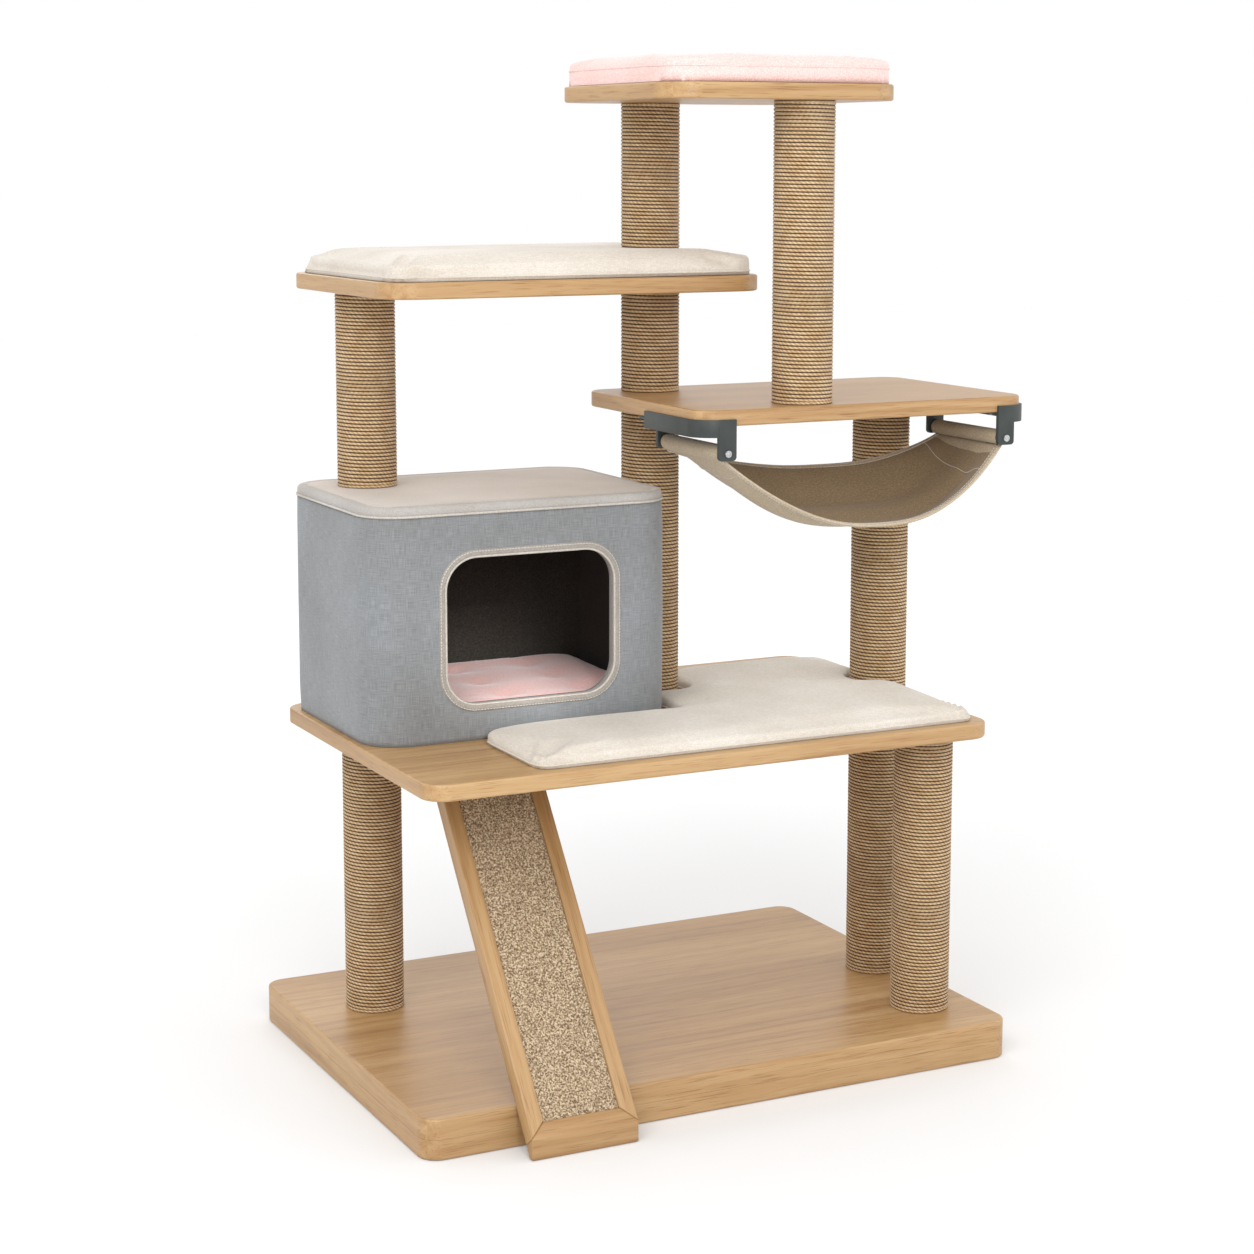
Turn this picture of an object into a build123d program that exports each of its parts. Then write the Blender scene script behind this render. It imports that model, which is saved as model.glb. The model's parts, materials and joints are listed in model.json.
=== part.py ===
from build123d import *
import os
from math import cos, pi, radians, sin

# Cat tree: a heavy base, rope-wrapped posts, shelves, a cubby, a hammock and a folding ramp.
# Millimetres, +Z up. The origin is the middle of the base's underside, on the floor.
# +X runs along the front from left to right, +Y runs from the front to the back.

# ---- boards: lowest and highest X and Y, underside height, corner radius -------------------
BOARD_THICKNESS = 21.0
EDGE_ROUND, SEAM_ROUND = 3.0, 0.8
BASE_WIDTH, BASE_DEPTH, BASE_HEIGHT, BASE_CORNER = 852.0, 606.0, 52.0, 26.0
PLATFORM = dict(x=(-414.0, 392.0), y=(-299.0, 228.0), z=444.0, corner=31.0)
SHELF = dict(x=(-384.0, 154.0), y=(-107.0, 266.0), z=1031.0, corner=45.0)
HAMMOCK_SHELF = dict(x=(-13.0, 484.0), y=(-229.0, 112.0), z=868.5, corner=31.0)
TOP_BOARD = dict(x=(-58.0, 286.0), y=(-231.0, 114.0), z=1277.0, corner=50.0)
PLATFORM_TOP = PLATFORM["z"] + BOARD_THICKNESS
SHELF_TOP = SHELF["z"] + BOARD_THICKNESS
HAMMOCK_SHELF_TOP = HAMMOCK_SHELF["z"] + BOARD_THICKNESS
TOP_BOARD_TOP = TOP_BOARD["z"] + BOARD_THICKNESS

# ---- cubby: a fabric-covered box on the platform -------------------------------------------
CUBBY_X, CUBBY_Y, CUBBY_CORNER = (-404.5, 23.0), (-93.0, 227.0), 54.0
CUBBY_TOP = 772.0
COVER_THICKNESS = 2.0
WALL_THICKNESS = 9.0
LINING_THICKNESS = 1.5
CUBBY_FLOOR_THICKNESS = 12.0
CUBBY_ROOF_THICKNESS = 13.0
ROOF_SKIRT, ROOF_EDGE_ROUND = 14.0, 6.0
PIPING_STANDOUT, PIPING_HEIGHT = 2.0, 4.0
DOORWAY_CENTRE_X, DOORWAY_CENTRE_Z = -187.0, 608.0
DOORWAY_WIDTH, DOORWAY_HEIGHT, DOORWAY_CORNER = 236.0, 190.0, 42.0
TRIM_WIDTH, TRIM_EDGE, TRIM_STANDOUT = 11.0, 3.0, 3.5
ROOF_UNDERSIDE = CUBBY_TOP - COVER_THICKNESS - CUBBY_ROOF_THICKNESS

# ---- posts: a paper tube, two wooden plugs and a winding of sisal rope ------------------------
POST_DIAMETER, CORE_DIAMETER, CORE_BORE = 80.0, 68.0, 60.0
PLUG_THICKNESS = 22.0
INSERT_DIAMETER, INSERT_LENGTH = 12.0, 18.0
POST_A, POST_B, POST_C = (-321.0, 138.0), (65.0, 65.0), (161.0, -182.0)
POST_D, POST_E = (383.0, -22.0), (348.0, -197.0)
POSTS = {
    "left_lower_post": (POST_A, BASE_HEIGHT, PLATFORM["z"]),
    "left_upper_post": (POST_A, CUBBY_TOP, SHELF["z"]),
    "middle_lower_post": (POST_B, PLATFORM_TOP, HAMMOCK_SHELF["z"]),
    "middle_centre_post": (POST_B, HAMMOCK_SHELF_TOP, SHELF["z"]),
    "middle_upper_post": (POST_B, SHELF_TOP, TOP_BOARD["z"]),
    "perch_post": (POST_C, HAMMOCK_SHELF_TOP, TOP_BOARD["z"]),
    "tall_right_post": (POST_D, BASE_HEIGHT, HAMMOCK_SHELF["z"]),
    "right_lower_post": (POST_E, BASE_HEIGHT, PLATFORM["z"]),
}
NOTCH_RADIUS = POST_DIAMETER / 2 + 1.0

# ---- fasteners: M8 bolts and rods in threaded inserts -----------------------------------------
BOLT_DIAMETER, BOLT_HOLE, INSERT_BORE = 8.0, 8.6, 8.1
HEAD_DIAMETER, HEAD_THICKNESS = 18.0, 5.5
COUNTERBORE_DIAMETER, COUNTERBORE_DEPTH = 19.0, 6.0
BASE_COUNTERBORE = 12.0
ROD_REACH = 16.0
BLIND_DEPTH = 13.0
SOCKET_DIAMETER, SOCKET_FLOOR = 6.0, 2.0
WOOD_SCREW_DIAMETER, WOOD_SCREW_LENGTH, WOOD_SCREW_HEAD = 4.0, 36.0, 8.0
WOOD_SCREW_SINK, WOOD_SCREW_HEAD_THICKNESS = 1.0, 3.0
# The base's own screws, as shares of half its width and half its depth.
BASE_SCREWS_ACROSS, BASE_SCREWS_DEEP = (-0.8, 0, 0.8), (-0.75, 0.75)

# ---- cushions -------------------------------------------------------------------------------
PLATFORM_CUSHION_THICKNESS = 20.0
SHELF_CUSHION_THICKNESS = 30.0
TOP_CUSHION_THICKNESS = 36.0
CUBBY_CUSHION_THICKNESS = 34.0
POST_GAP = 4.0
PLATFORM_CUSHION_X, PLATFORM_CUSHION_Y = (-266.0, 380.0), (-287.0, 140.0)
PLATFORM_CUSHION_CORNER, PLATFORM_CUSHION_EDGE = 28.0, 8.0
BESIDE_CUBBY, BEFORE_CUBBY, BESIDE_POST, BEFORE_POST = 9.0, 8.0, 47.0, 46.0
SHELF_CUSHION_INSET, TOP_CUSHION_INSET, CUBBY_CUSHION_GAP = 6.0, 2.0, 4.0
CUSHION_EDGE = 10.0

# ---- hammock --------------------------------------------------------------------------------
BAR_DIAMETER, BAR_HEIGHT, BAR_INSET = 16.0, 834.0, 37.0
SLEEVE_DIAMETER, SLEEVE_BORE = 21.0, 17.0
CLOTH_FRONT, CLOTH_BACK, CLOTH_THICKNESS = -222.0, -66.0, 3.0
# How far back each section of the cloth is, from 0 to 1, how far it drops, and how full its sides are.
CLOTH_SECTIONS = ((0.0, 108.0, 2.3), (0.3, 113.0, 3.1), (0.6, 96.0, 3.1), (1.0, 46.0, 2.3))
BRACKET_WALL, BRACKET_TOP, BRACKET_BOTTOM = 4.0, 877.5, 855.0
BRACKET_SIDE_END = -79.0
LEG_WIDTH, LEG_THICKNESS, LEG_BOTTOM, LEG_CORNER = 25.0, 6.0, 825.0, 5.0
BACK_LEG_Y = -63.0
BRACKET_PLATE, BRACKET_OVERLAP = 3.0, 20.0
BRACKET_SCREW_DIAMETER, BRACKET_SCREW_HOLE, BRACKET_SCREW_LENGTH = 4.0, 4.4, 16.0
BRACKET_SCREW_HEAD, BRACKET_SCREW_HEAD_THICKNESS = 8.0, 2.5
BRACKET_SCREW_FRONT, BRACKET_SCREW_BACK = 30.0, 24.0
BAR_SCREW_DIAMETER, BAR_SCREW_HOLE, BAR_SCREW_LENGTH = 5.0, 5.2, 18.0
BAR_SCREW_HEAD, BAR_SCREW_HEAD_THICKNESS = 9.0, 2.0
BAR_LEFT_X = HAMMOCK_SHELF["x"][0] + BAR_INSET
BAR_RIGHT_X = HAMMOCK_SHELF["x"][1] - BAR_INSET

# ---- ramp: hinged under the platform, its foot on the floor in front of the base ----------------
RAMP_X = (-307.0, -162.0)
RAMP_SLOPE = 53.0
RAMP_THICKNESS, RAIL_WIDTH = 24.0, 21.0
FOOT_Y, FOOT_FACE_HEIGHT, FOOT_RAIL = -354.0, 28.0, 20.0
TOP_RAIL = 60.0
BELOW_FOOT = -60.0
THROUGH_RAMP = (-5.0, 60.0)
HINGE_Z, KNUCKLE_RADIUS, HINGE_PIN = PLATFORM["z"] - 4.4, 4.0, 4.0
HINGE_LEAF, HINGE_LENGTH, HINGE_LEAF_WIDTH = 2.0, 100.0, 28.0
KNUCKLE_CLEARANCE, PIN_CLEARANCE = 0.3, 0.05
HINGE_KNUCKLES, HINGE_SCREWS = 5, 3
HINGE_SCREW_SETBACK, HINGE_SCREW_LENGTH = 17.0, 11.0
HINGE_SCREW_HEAD, HINGE_SCREW_DIAMETER = 7.2, 3.2
RAMP_END_GAP = 7.0
MAT_DEPTH, MAT_THICKNESS, PANEL_THICKNESS = 3.5, 4.5, 6.0

parts = {}


# ---- helpers ------------------------------------------------------------------------------------
def box_between(x, y, z):
    """A plain block from its lowest to its highest X, Y and Z."""
    size = [high - low for low, high in (x, y, z)]
    middle = [(low + high) / 2 for low, high in (x, y, z)]
    return Pos(*middle) * Box(*size)


def cylinder(centre, diameter, z):
    """An upright cylinder between two heights."""
    return Pos(centre[0], centre[1], (z[0] + z[1]) / 2) * Cylinder(diameter / 2, z[1] - z[0])


def rounded_slab(x, y, z, corner):
    """A slab with rounded upright corners and sharp top and bottom edges."""
    block = box_between(x, y, z)
    return fillet(block.edges().filter_by(Axis.Z), corner)


def soften(solid, z, radius):
    """Rounds every edge that lies flat at one height."""
    flat = [e for e in solid.edges() if abs(e.bounding_box().min.Z - z) < 1e-3
            and abs(e.bounding_box().max.Z - z) < 1e-3]
    return fillet(flat, radius)


def board(place, thickness=BOARD_THICKNESS):
    """A shelf board with rounded corners and softened edges."""
    low, high = place["z"], place["z"] + thickness
    slab = rounded_slab(place["x"], place["y"], (low, high), place["corner"])
    return soften(soften(slab, high, EDGE_ROUND), low, EDGE_ROUND)


def shrink(span, inset):
    """The same span with both ends moved inwards."""
    return (span[0] + inset, span[1] - inset)


def cubby_slab(inset, z):
    """The cubby's outline, moved inwards by inset, between two heights."""
    return rounded_slab(shrink(CUBBY_X, inset), shrink(CUBBY_Y, inset), z, CUBBY_CORNER - inset)


def doorway(margin, y):
    """The doorway's rounded outline, grown by margin, as a block that runs from y to y."""
    block = box_between(
        (DOORWAY_CENTRE_X - DOORWAY_WIDTH / 2 - margin, DOORWAY_CENTRE_X + DOORWAY_WIDTH / 2 + margin), y,
        (DOORWAY_CENTRE_Z - DOORWAY_HEIGHT / 2 - margin, DOORWAY_CENTRE_Z + DOORWAY_HEIGHT / 2 + margin))
    return fillet(block.edges().filter_by(Axis.Y), DOORWAY_CORNER + margin)


def drilled(solid, centre, z, head=None):
    """Drills one bolt hole, with a counterbore from the lower or the upper face."""
    solid = solid - cylinder(centre, BOLT_HOLE, (z[0] - 1, z[1] + 1))
    if head == "top":
        solid = solid - cylinder(centre, COUNTERBORE_DIAMETER, (z[1] - COUNTERBORE_DEPTH, z[1] + 1))
    if head == "bottom":
        solid = solid - cylinder(centre, COUNTERBORE_DIAMETER, (z[0] - 1, z[0] + COUNTERBORE_DEPTH))
    return solid


def bolt(centre, seat, reach):
    """A flange bolt: the head's bearing face is at seat and the tip is at reach."""
    away = 1 if seat > reach else -1
    head = cylinder(centre, HEAD_DIAMETER, sorted((seat, seat + away * HEAD_THICKNESS)))
    opening = seat + away * (HEAD_THICKNESS + 1)
    socket = cylinder(centre, SOCKET_DIAMETER, sorted((seat + away * SOCKET_FLOOR, opening)))
    return head + cylinder(centre, BOLT_DIAMETER, sorted((seat, reach))) - socket


# ---- base and shelves --------------------------------------------------------------------------
def make_base():
    """Two glued layers, with the posts' bolts coming up through both."""
    x, y = (-BASE_WIDTH / 2, BASE_WIDTH / 2), (-BASE_DEPTH / 2, BASE_DEPTH / 2)
    middle = BASE_HEIGHT / 2
    lower = soften(rounded_slab(x, y, (0, middle), BASE_CORNER), 0, EDGE_ROUND)
    lower = soften(lower, middle, SEAM_ROUND)
    upper = soften(rounded_slab(x, y, (middle, BASE_HEIGHT), BASE_CORNER), BASE_HEIGHT, EDGE_ROUND)
    upper = soften(upper, middle, SEAM_ROUND)
    for centre in (POST_A, POST_D, POST_E):
        lower = lower - cylinder(centre, BOLT_HOLE, (-1, middle + 1))
        lower = lower - cylinder(centre, COUNTERBORE_DIAMETER, (-1, BASE_COUNTERBORE))
        upper = upper - cylinder(centre, BOLT_HOLE, (middle - 1, BASE_HEIGHT + 1))
    screws = []
    tip = WOOD_SCREW_SINK + WOOD_SCREW_LENGTH
    head_top = WOOD_SCREW_SINK + WOOD_SCREW_HEAD_THICKNESS
    for across in BASE_SCREWS_ACROSS:
        for deep in BASE_SCREWS_DEEP:
            centre = (across * BASE_WIDTH / 2, deep * BASE_DEPTH / 2)
            shank = cylinder(centre, WOOD_SCREW_DIAMETER, (WOOD_SCREW_SINK, tip))
            screws.append(shank + cylinder(centre, WOOD_SCREW_HEAD, (WOOD_SCREW_SINK, head_top)))
            lower = lower - cylinder(centre, WOOD_SCREW_DIAMETER, (-1, middle + 1))
            lower = lower - cylinder(centre, WOOD_SCREW_HEAD, (-1, head_top))
            upper = upper - cylinder(centre, WOOD_SCREW_DIAMETER, (middle - 1, tip))
    parts["base_lower_board"] = lower
    parts["base_upper_board"] = upper
    parts["base_layer_screws"] = Compound(screws)


def make_boards():
    """The platform and the three shelves, drilled for their bolts."""
    span = (PLATFORM["z"], PLATFORM_TOP)
    platform = board(PLATFORM) - cylinder(POST_D, 2 * NOTCH_RADIUS, (span[0] - 1, span[1] + 1))
    platform = drilled(platform, POST_A, span, "top")
    platform = drilled(platform, POST_E, span, "top")
    parts["platform"] = drilled(platform, POST_B, span, "bottom")

    span = (SHELF["z"], SHELF_TOP)
    parts["shelf"] = drilled(drilled(board(SHELF), POST_A, span, "top"), POST_B, span)

    span = (HAMMOCK_SHELF["z"], HAMMOCK_SHELF_TOP)
    shelf = drilled(drilled(board(HAMMOCK_SHELF), POST_B, span), POST_C, span, "bottom")
    blind = cylinder(POST_D, BOLT_HOLE, (span[0] - 1, span[0] + BLIND_DEPTH))
    parts["hammock_shelf"] = shelf - blind

    span = (TOP_BOARD["z"], TOP_BOARD_TOP)
    parts["top_board"] = drilled(drilled(board(TOP_BOARD), POST_B, span, "top"), POST_C, span, "top")


# ---- posts ---------------------------------------------------------------------------------------
def make_posts():
    """Every post has a tube, a plug in each end, an insert in each plug and a rope winding."""
    plugs, inserts = [], []
    for name, (centre, low, high) in POSTS.items():
        parts[name + "_tube"] = (cylinder(centre, CORE_DIAMETER, (low, high))
                                 - cylinder(centre, CORE_BORE, (low - 1, high + 1)))
        parts[name + "_rope"] = (cylinder(centre, POST_DIAMETER, (low, high))
                                 - cylinder(centre, CORE_DIAMETER, (low - 1, high + 1)))
        for face, inwards in ((low, 1), (high, -1)):
            plug = cylinder(centre, CORE_BORE, sorted((face, face + inwards * PLUG_THICKNESS)))
            bore = cylinder(centre, INSERT_DIAMETER, (face - PLUG_THICKNESS - 1, face + PLUG_THICKNESS + 1))
            plugs.append(plug - bore)
            sleeve = cylinder(centre, INSERT_DIAMETER, sorted((face, face + inwards * INSERT_LENGTH)))
            inserts.append(sleeve - cylinder(centre, INSERT_BORE, (face - INSERT_LENGTH - 1,
                                                                   face + INSERT_LENGTH + 1)))
    parts["post_plugs"] = Compound(plugs)
    parts["threaded_inserts"] = Compound(inserts)


def make_bolts():
    """Bolts through one board, longer bolts up through the base, and rods between stacked posts."""
    down = INSERT_LENGTH
    seats = [
        (POST_A, PLATFORM_TOP - COUNTERBORE_DEPTH, PLATFORM["z"] - down),
        (POST_E, PLATFORM_TOP - COUNTERBORE_DEPTH, PLATFORM["z"] - down),
        (POST_A, SHELF_TOP - COUNTERBORE_DEPTH, SHELF["z"] - down),
        (POST_B, TOP_BOARD_TOP - COUNTERBORE_DEPTH, TOP_BOARD["z"] - down),
        (POST_C, TOP_BOARD_TOP - COUNTERBORE_DEPTH, TOP_BOARD["z"] - down),
        (POST_B, PLATFORM["z"] + COUNTERBORE_DEPTH, PLATFORM_TOP + down),
        (POST_C, HAMMOCK_SHELF["z"] + COUNTERBORE_DEPTH, HAMMOCK_SHELF_TOP + down),
        (POST_A, ROOF_UNDERSIDE, CUBBY_TOP + down),
    ]
    parts["board_bolts"] = Compound([bolt(*seat) for seat in seats])
    parts["base_bolts"] = Compound([bolt(centre, BASE_COUNTERBORE, BASE_HEIGHT + down)
                                    for centre in (POST_A, POST_D, POST_E)])
    rods = [cylinder(POST_B, BOLT_DIAMETER, (low - ROD_REACH, low + BOARD_THICKNESS + ROD_REACH))
            for low in (HAMMOCK_SHELF["z"], SHELF["z"])]
    rods.append(cylinder(POST_D, BOLT_DIAMETER, (HAMMOCK_SHELF["z"] - ROD_REACH,
                                                 HAMMOCK_SHELF["z"] + BLIND_DEPTH - 1)))
    parts["joining_rods"] = Compound(rods)


# ---- cubby -----------------------------------------------------------------------------------------
def make_cubby():
    """Board walls with rounded corners, a floor and a roof, covered outside and lined inside."""
    wall = COVER_THICKNESS + WALL_THICKNESS
    low, high = PLATFORM_TOP, ROOF_UNDERSIDE
    ring = cubby_slab(COVER_THICKNESS, (low, high)) - cubby_slab(wall, (low - 1, high + 1))
    ring = ring - doorway(TRIM_EDGE, (CUBBY_Y[0] - 20, CUBBY_Y[0] + 60))
    left_cut, right_cut = CUBBY_X[0] + CUBBY_CORNER, CUBBY_X[1] - CUBBY_CORNER
    y_middle = sum(CUBBY_Y) / 2
    all_z = (low - 1, high + 1)
    centre = (left_cut, right_cut)
    parts["cubby_left_wall"] = ring & box_between((CUBBY_X[0], left_cut), CUBBY_Y, all_z)
    parts["cubby_right_wall"] = ring & box_between((right_cut, CUBBY_X[1]), CUBBY_Y, all_z)
    parts["cubby_front_wall"] = ring & box_between(centre, (CUBBY_Y[0], y_middle), all_z)
    parts["cubby_back_wall"] = ring & box_between(centre, (y_middle, CUBBY_Y[1]), all_z)
    parts["cubby_floor"] = cubby_slab(wall, (low, low + CUBBY_FLOOR_THICKNESS))

    roof = cubby_slab(COVER_THICKNESS, (high, CUBBY_TOP - COVER_THICKNESS))
    parts["cubby_roof"] = roof - cylinder(POST_A, BOLT_HOLE, (high - 1, CUBBY_TOP + 1))

    seam = CUBBY_TOP - ROOF_SKIRT
    cover = cubby_slab(0, (low, seam)) - cubby_slab(COVER_THICKNESS, (low - 1, seam + 1))
    parts["cubby_cover"] = cover - doorway(TRIM_EDGE, (CUBBY_Y[0] - 20, CUBBY_Y[0] + 60))
    cap = soften(cubby_slab(0, (seam, CUBBY_TOP)), CUBBY_TOP, ROOF_EDGE_ROUND)
    cap = cap - cubby_slab(COVER_THICKNESS, (seam - 1, CUBBY_TOP - COVER_THICKNESS))
    cap = cap - cylinder(POST_A, BOLT_HOLE, (seam, CUBBY_TOP + 1))
    piping = (cubby_slab(-PIPING_STANDOUT, (seam, seam + PIPING_HEIGHT))
              - cubby_slab(0, (seam - 1, seam + PIPING_HEIGHT + 1)))
    parts["cubby_roof_cover"] = cap + piping

    floor_top = low + CUBBY_FLOOR_THICKNESS
    lining = cubby_slab(wall, (floor_top, high))
    lining = lining - cubby_slab(wall + LINING_THICKNESS, (floor_top - 1, high + 1))
    parts["cubby_lining"] = lining - doorway(TRIM_EDGE, (CUBBY_Y[0] - 20, CUBBY_Y[0] + 60))

    face, back = CUBBY_Y[0], CUBBY_Y[0] + wall + LINING_THICKNESS
    flange = doorway(TRIM_WIDTH, (face - TRIM_STANDOUT, face)) - doorway(0, (face - 20, face + 20))
    lip = doorway(TRIM_EDGE, (face, back)) - doorway(0, (face - 20, back + 20))
    parts["doorway_trim"] = flange + lip


# ---- cushions --------------------------------------------------------------------------------------
def pad(outline, z, corner, edge):
    """A cushion: an outline raised to a slab, with rounded corners and softened upper edges."""
    slab = extrude(Pos(0, 0, z[0]) * outline, z[1] - z[0])
    slab = fillet(slab.edges().filter_by(Axis.Z), corner)
    return soften(slab, z[1], edge)


def make_cushions():
    """Plain closed solids of each cushion's size, clear of the posts that pass them."""
    (x_left, x_right), (y_front, y_back) = PLATFORM_CUSHION_X, PLATFORM_CUSHION_Y
    beside_cubby, before_cubby = CUBBY_X[1] + BESIDE_CUBBY, CUBBY_Y[0] - BEFORE_CUBBY
    beside_post, before_post = POST_B[0] + BESIDE_POST, POST_B[1] - BEFORE_POST
    corners = [(x_left, y_front), (x_right, y_front), (x_right, y_back), (beside_post, y_back),
               (beside_post, before_post), (beside_cubby, before_post),
               (beside_cubby, before_cubby), (x_left, before_cubby)]
    outline = make_face(Polyline(*corners, close=True))
    span = (PLATFORM_TOP, PLATFORM_TOP + PLATFORM_CUSHION_THICKNESS)
    cushion = pad(outline, span, PLATFORM_CUSHION_CORNER, PLATFORM_CUSHION_EDGE)
    notch = cylinder(POST_D, POST_DIAMETER + 2 * POST_GAP, (span[0] - 1, span[1] + 1))
    parts["platform_cushion"] = cushion - notch

    for name, place, top, thick, inset in (
            ("shelf_cushion", SHELF, SHELF_TOP, SHELF_CUSHION_THICKNESS, SHELF_CUSHION_INSET),
            ("top_cushion", TOP_BOARD, TOP_BOARD_TOP, TOP_CUSHION_THICKNESS, TOP_CUSHION_INSET)):
        x, y = shrink(place["x"], inset), shrink(place["y"], inset)
        slab = rounded_slab(x, y, (top, top + thick), place["corner"] - inset)
        parts[name] = soften(slab, top + thick, CUSHION_EDGE)
    hole_top = SHELF_TOP + SHELF_CUSHION_THICKNESS + 1
    hole = cylinder(POST_B, POST_DIAMETER + 2 * POST_GAP, (SHELF_TOP - 1, hole_top))
    parts["shelf_cushion"] = parts["shelf_cushion"] - hole

    low = PLATFORM_TOP + CUBBY_FLOOR_THICKNESS
    inset = COVER_THICKNESS + WALL_THICKNESS + LINING_THICKNESS + CUBBY_CUSHION_GAP
    slab = cubby_slab(inset, (low, low + CUBBY_CUSHION_THICKNESS))
    parts["cubby_cushion"] = soften(slab, low + CUBBY_CUSHION_THICKNESS, CUSHION_EDGE)


# ---- hammock ----------------------------------------------------------------------------------------
def make_bracket(side, bar_x):
    """A moulded bracket: a band round the shelf's front corner, a plate under the shelf, two legs."""
    x_end = HAMMOCK_SHELF["x"][0] if side < 0 else HAMMOCK_SHELF["x"][1]
    front = HAMMOCK_SHELF["y"][0]
    tall = (BRACKET_BOTTOM, BRACKET_TOP)
    grown = [shrink(HAMMOCK_SHELF[key], -BRACKET_WALL) for key in ("x", "y")]
    band = rounded_slab(*grown, tall, HAMMOCK_SHELF["corner"] + BRACKET_WALL)
    band = band - rounded_slab(HAMMOCK_SHELF["x"], HAMMOCK_SHELF["y"],
                               (tall[0] - 1, tall[1] + 1), HAMMOCK_SHELF["corner"])
    leg_x = (bar_x - LEG_WIDTH / 2, bar_x + LEG_WIDTH / 2)
    reach = sorted((x_end + side * BRACKET_OVERLAP, bar_x - side * LEG_WIDTH / 2))
    band = band & box_between(reach, (front - BRACKET_OVERLAP, BRACKET_SIDE_END), tall)
    front_leg = box_between(leg_x, (front - BRACKET_WALL, front + LEG_THICKNESS - BRACKET_WALL),
                            (LEG_BOTTOM, HAMMOCK_SHELF["z"]))
    back_leg = box_between(leg_x, (BACK_LEG_Y, BACK_LEG_Y + LEG_THICKNESS),
                           (LEG_BOTTOM, HAMMOCK_SHELF["z"]))
    legs = [fillet(leg.edges().filter_by(Axis.Y).group_by(Axis.Z)[0], LEG_CORNER)
            for leg in (front_leg, back_leg)]
    under = (HAMMOCK_SHELF["z"] - BRACKET_PLATE, HAMMOCK_SHELF["z"])
    inner = rounded_slab(HAMMOCK_SHELF["x"], HAMMOCK_SHELF["y"], under, HAMMOCK_SHELF["corner"])
    plate = inner & box_between(reach, (front, BACK_LEG_Y + LEG_THICKNESS), under)
    bracket = band + plate + legs[0] + legs[1]
    for y in (front + LEG_THICKNESS - BRACKET_WALL, BACK_LEG_Y):
        hole = Cylinder(BAR_SCREW_HOLE / 2, 2 * BAR_SCREW_LENGTH)
        bracket = bracket - Pos(bar_x, y, BAR_HEIGHT) * Rot(90, 0, 0) * hole
    for y in bracket_screw_places():
        bracket = bracket - cylinder((bar_x, y), BRACKET_SCREW_HOLE, (under[0] - 1, under[1] + 1))
    return bracket


def bracket_screw_places():
    """How far back each of a bracket's screws goes up into the shelf."""
    front = HAMMOCK_SHELF["y"][0]
    return (front + BRACKET_SCREW_FRONT, (front + BACK_LEG_Y) / 2, BACK_LEG_Y - BRACKET_SCREW_BACK)


def make_hammock():
    """Two brackets, two bars across them, and a cloth with a sleeve round each bar."""
    screws, bar_screws = [], []
    front = HAMMOCK_SHELF["y"][0]
    leg_inside = front + LEG_THICKNESS - BRACKET_WALL
    for name, side, bar_x in (("left", -1, BAR_LEFT_X), ("right", 1, BAR_RIGHT_X)):
        parts[name + "_bracket"] = make_bracket(side, bar_x)
        length = BACK_LEG_Y - leg_inside
        centre_y = (BACK_LEG_Y + leg_inside) / 2
        bar = Pos(bar_x, centre_y, BAR_HEIGHT) * Rot(90, 0, 0) * Cylinder(BAR_DIAMETER / 2, length)
        for y in (leg_inside, BACK_LEG_Y):
            hole = Cylinder(BAR_SCREW_DIAMETER / 2, 2 * BAR_SCREW_LENGTH)
            bar = bar - Pos(bar_x, y, BAR_HEIGHT) * Rot(90, 0, 0) * hole
        parts[name + "_bar"] = bar
        low = HAMMOCK_SHELF["z"] - BRACKET_PLATE
        for y in bracket_screw_places():
            head = cylinder((bar_x, y), BRACKET_SCREW_HEAD, (low - BRACKET_SCREW_HEAD_THICKNESS, low))
            shank = cylinder((bar_x, y), BRACKET_SCREW_DIAMETER, (low, low + BRACKET_SCREW_LENGTH))
            screws.append(head + shank)
            parts["hammock_shelf"] = parts["hammock_shelf"] - shank
        for outside, inwards in ((front - BRACKET_WALL, 1), (BACK_LEG_Y + LEG_THICKNESS, -1)):
            turn = Rot(90, 0, 0)
            head_y = outside - inwards * BAR_SCREW_HEAD_THICKNESS / 2
            shank_y = outside + inwards * BAR_SCREW_LENGTH / 2
            head = Cylinder(BAR_SCREW_HEAD / 2, BAR_SCREW_HEAD_THICKNESS)
            shank = Cylinder(BAR_SCREW_DIAMETER / 2, BAR_SCREW_LENGTH)
            bar_screws.append(Pos(bar_x, head_y, BAR_HEIGHT) * turn * head
                              + Pos(bar_x, shank_y, BAR_HEIGHT) * turn * shank)
    parts["bracket_screws"] = Compound(screws)
    parts["bar_screws"] = Compound(bar_screws)
    parts["hammock_cloth"] = make_cloth()


def cloth_section(back, drop, fullness):
    """The cloth's hanging section at one depth: a thin strip between two equal curves."""
    span = BAR_RIGHT_X - BAR_LEFT_X
    y = CLOTH_FRONT + (CLOTH_BACK - CLOTH_FRONT) * back
    steps = [i / 12 for i in range(13)]
    start = BAR_HEIGHT - BAR_DIAMETER / 2
    heights = [start - (drop - BAR_DIAMETER / 2) * (1 - abs(2 * t - 1) ** fullness) for t in steps]
    upper = [(BAR_LEFT_X + span * t, y, z) for t, z in zip(steps, heights)]
    lower = [(x, y, z - CLOTH_THICKNESS) for x, _, z in upper]
    edges = [Spline(*upper), Line(upper[-1], lower[-1]),
             Spline(*reversed(lower)), Line(lower[0], upper[0])]
    return make_face(edges)


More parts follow.
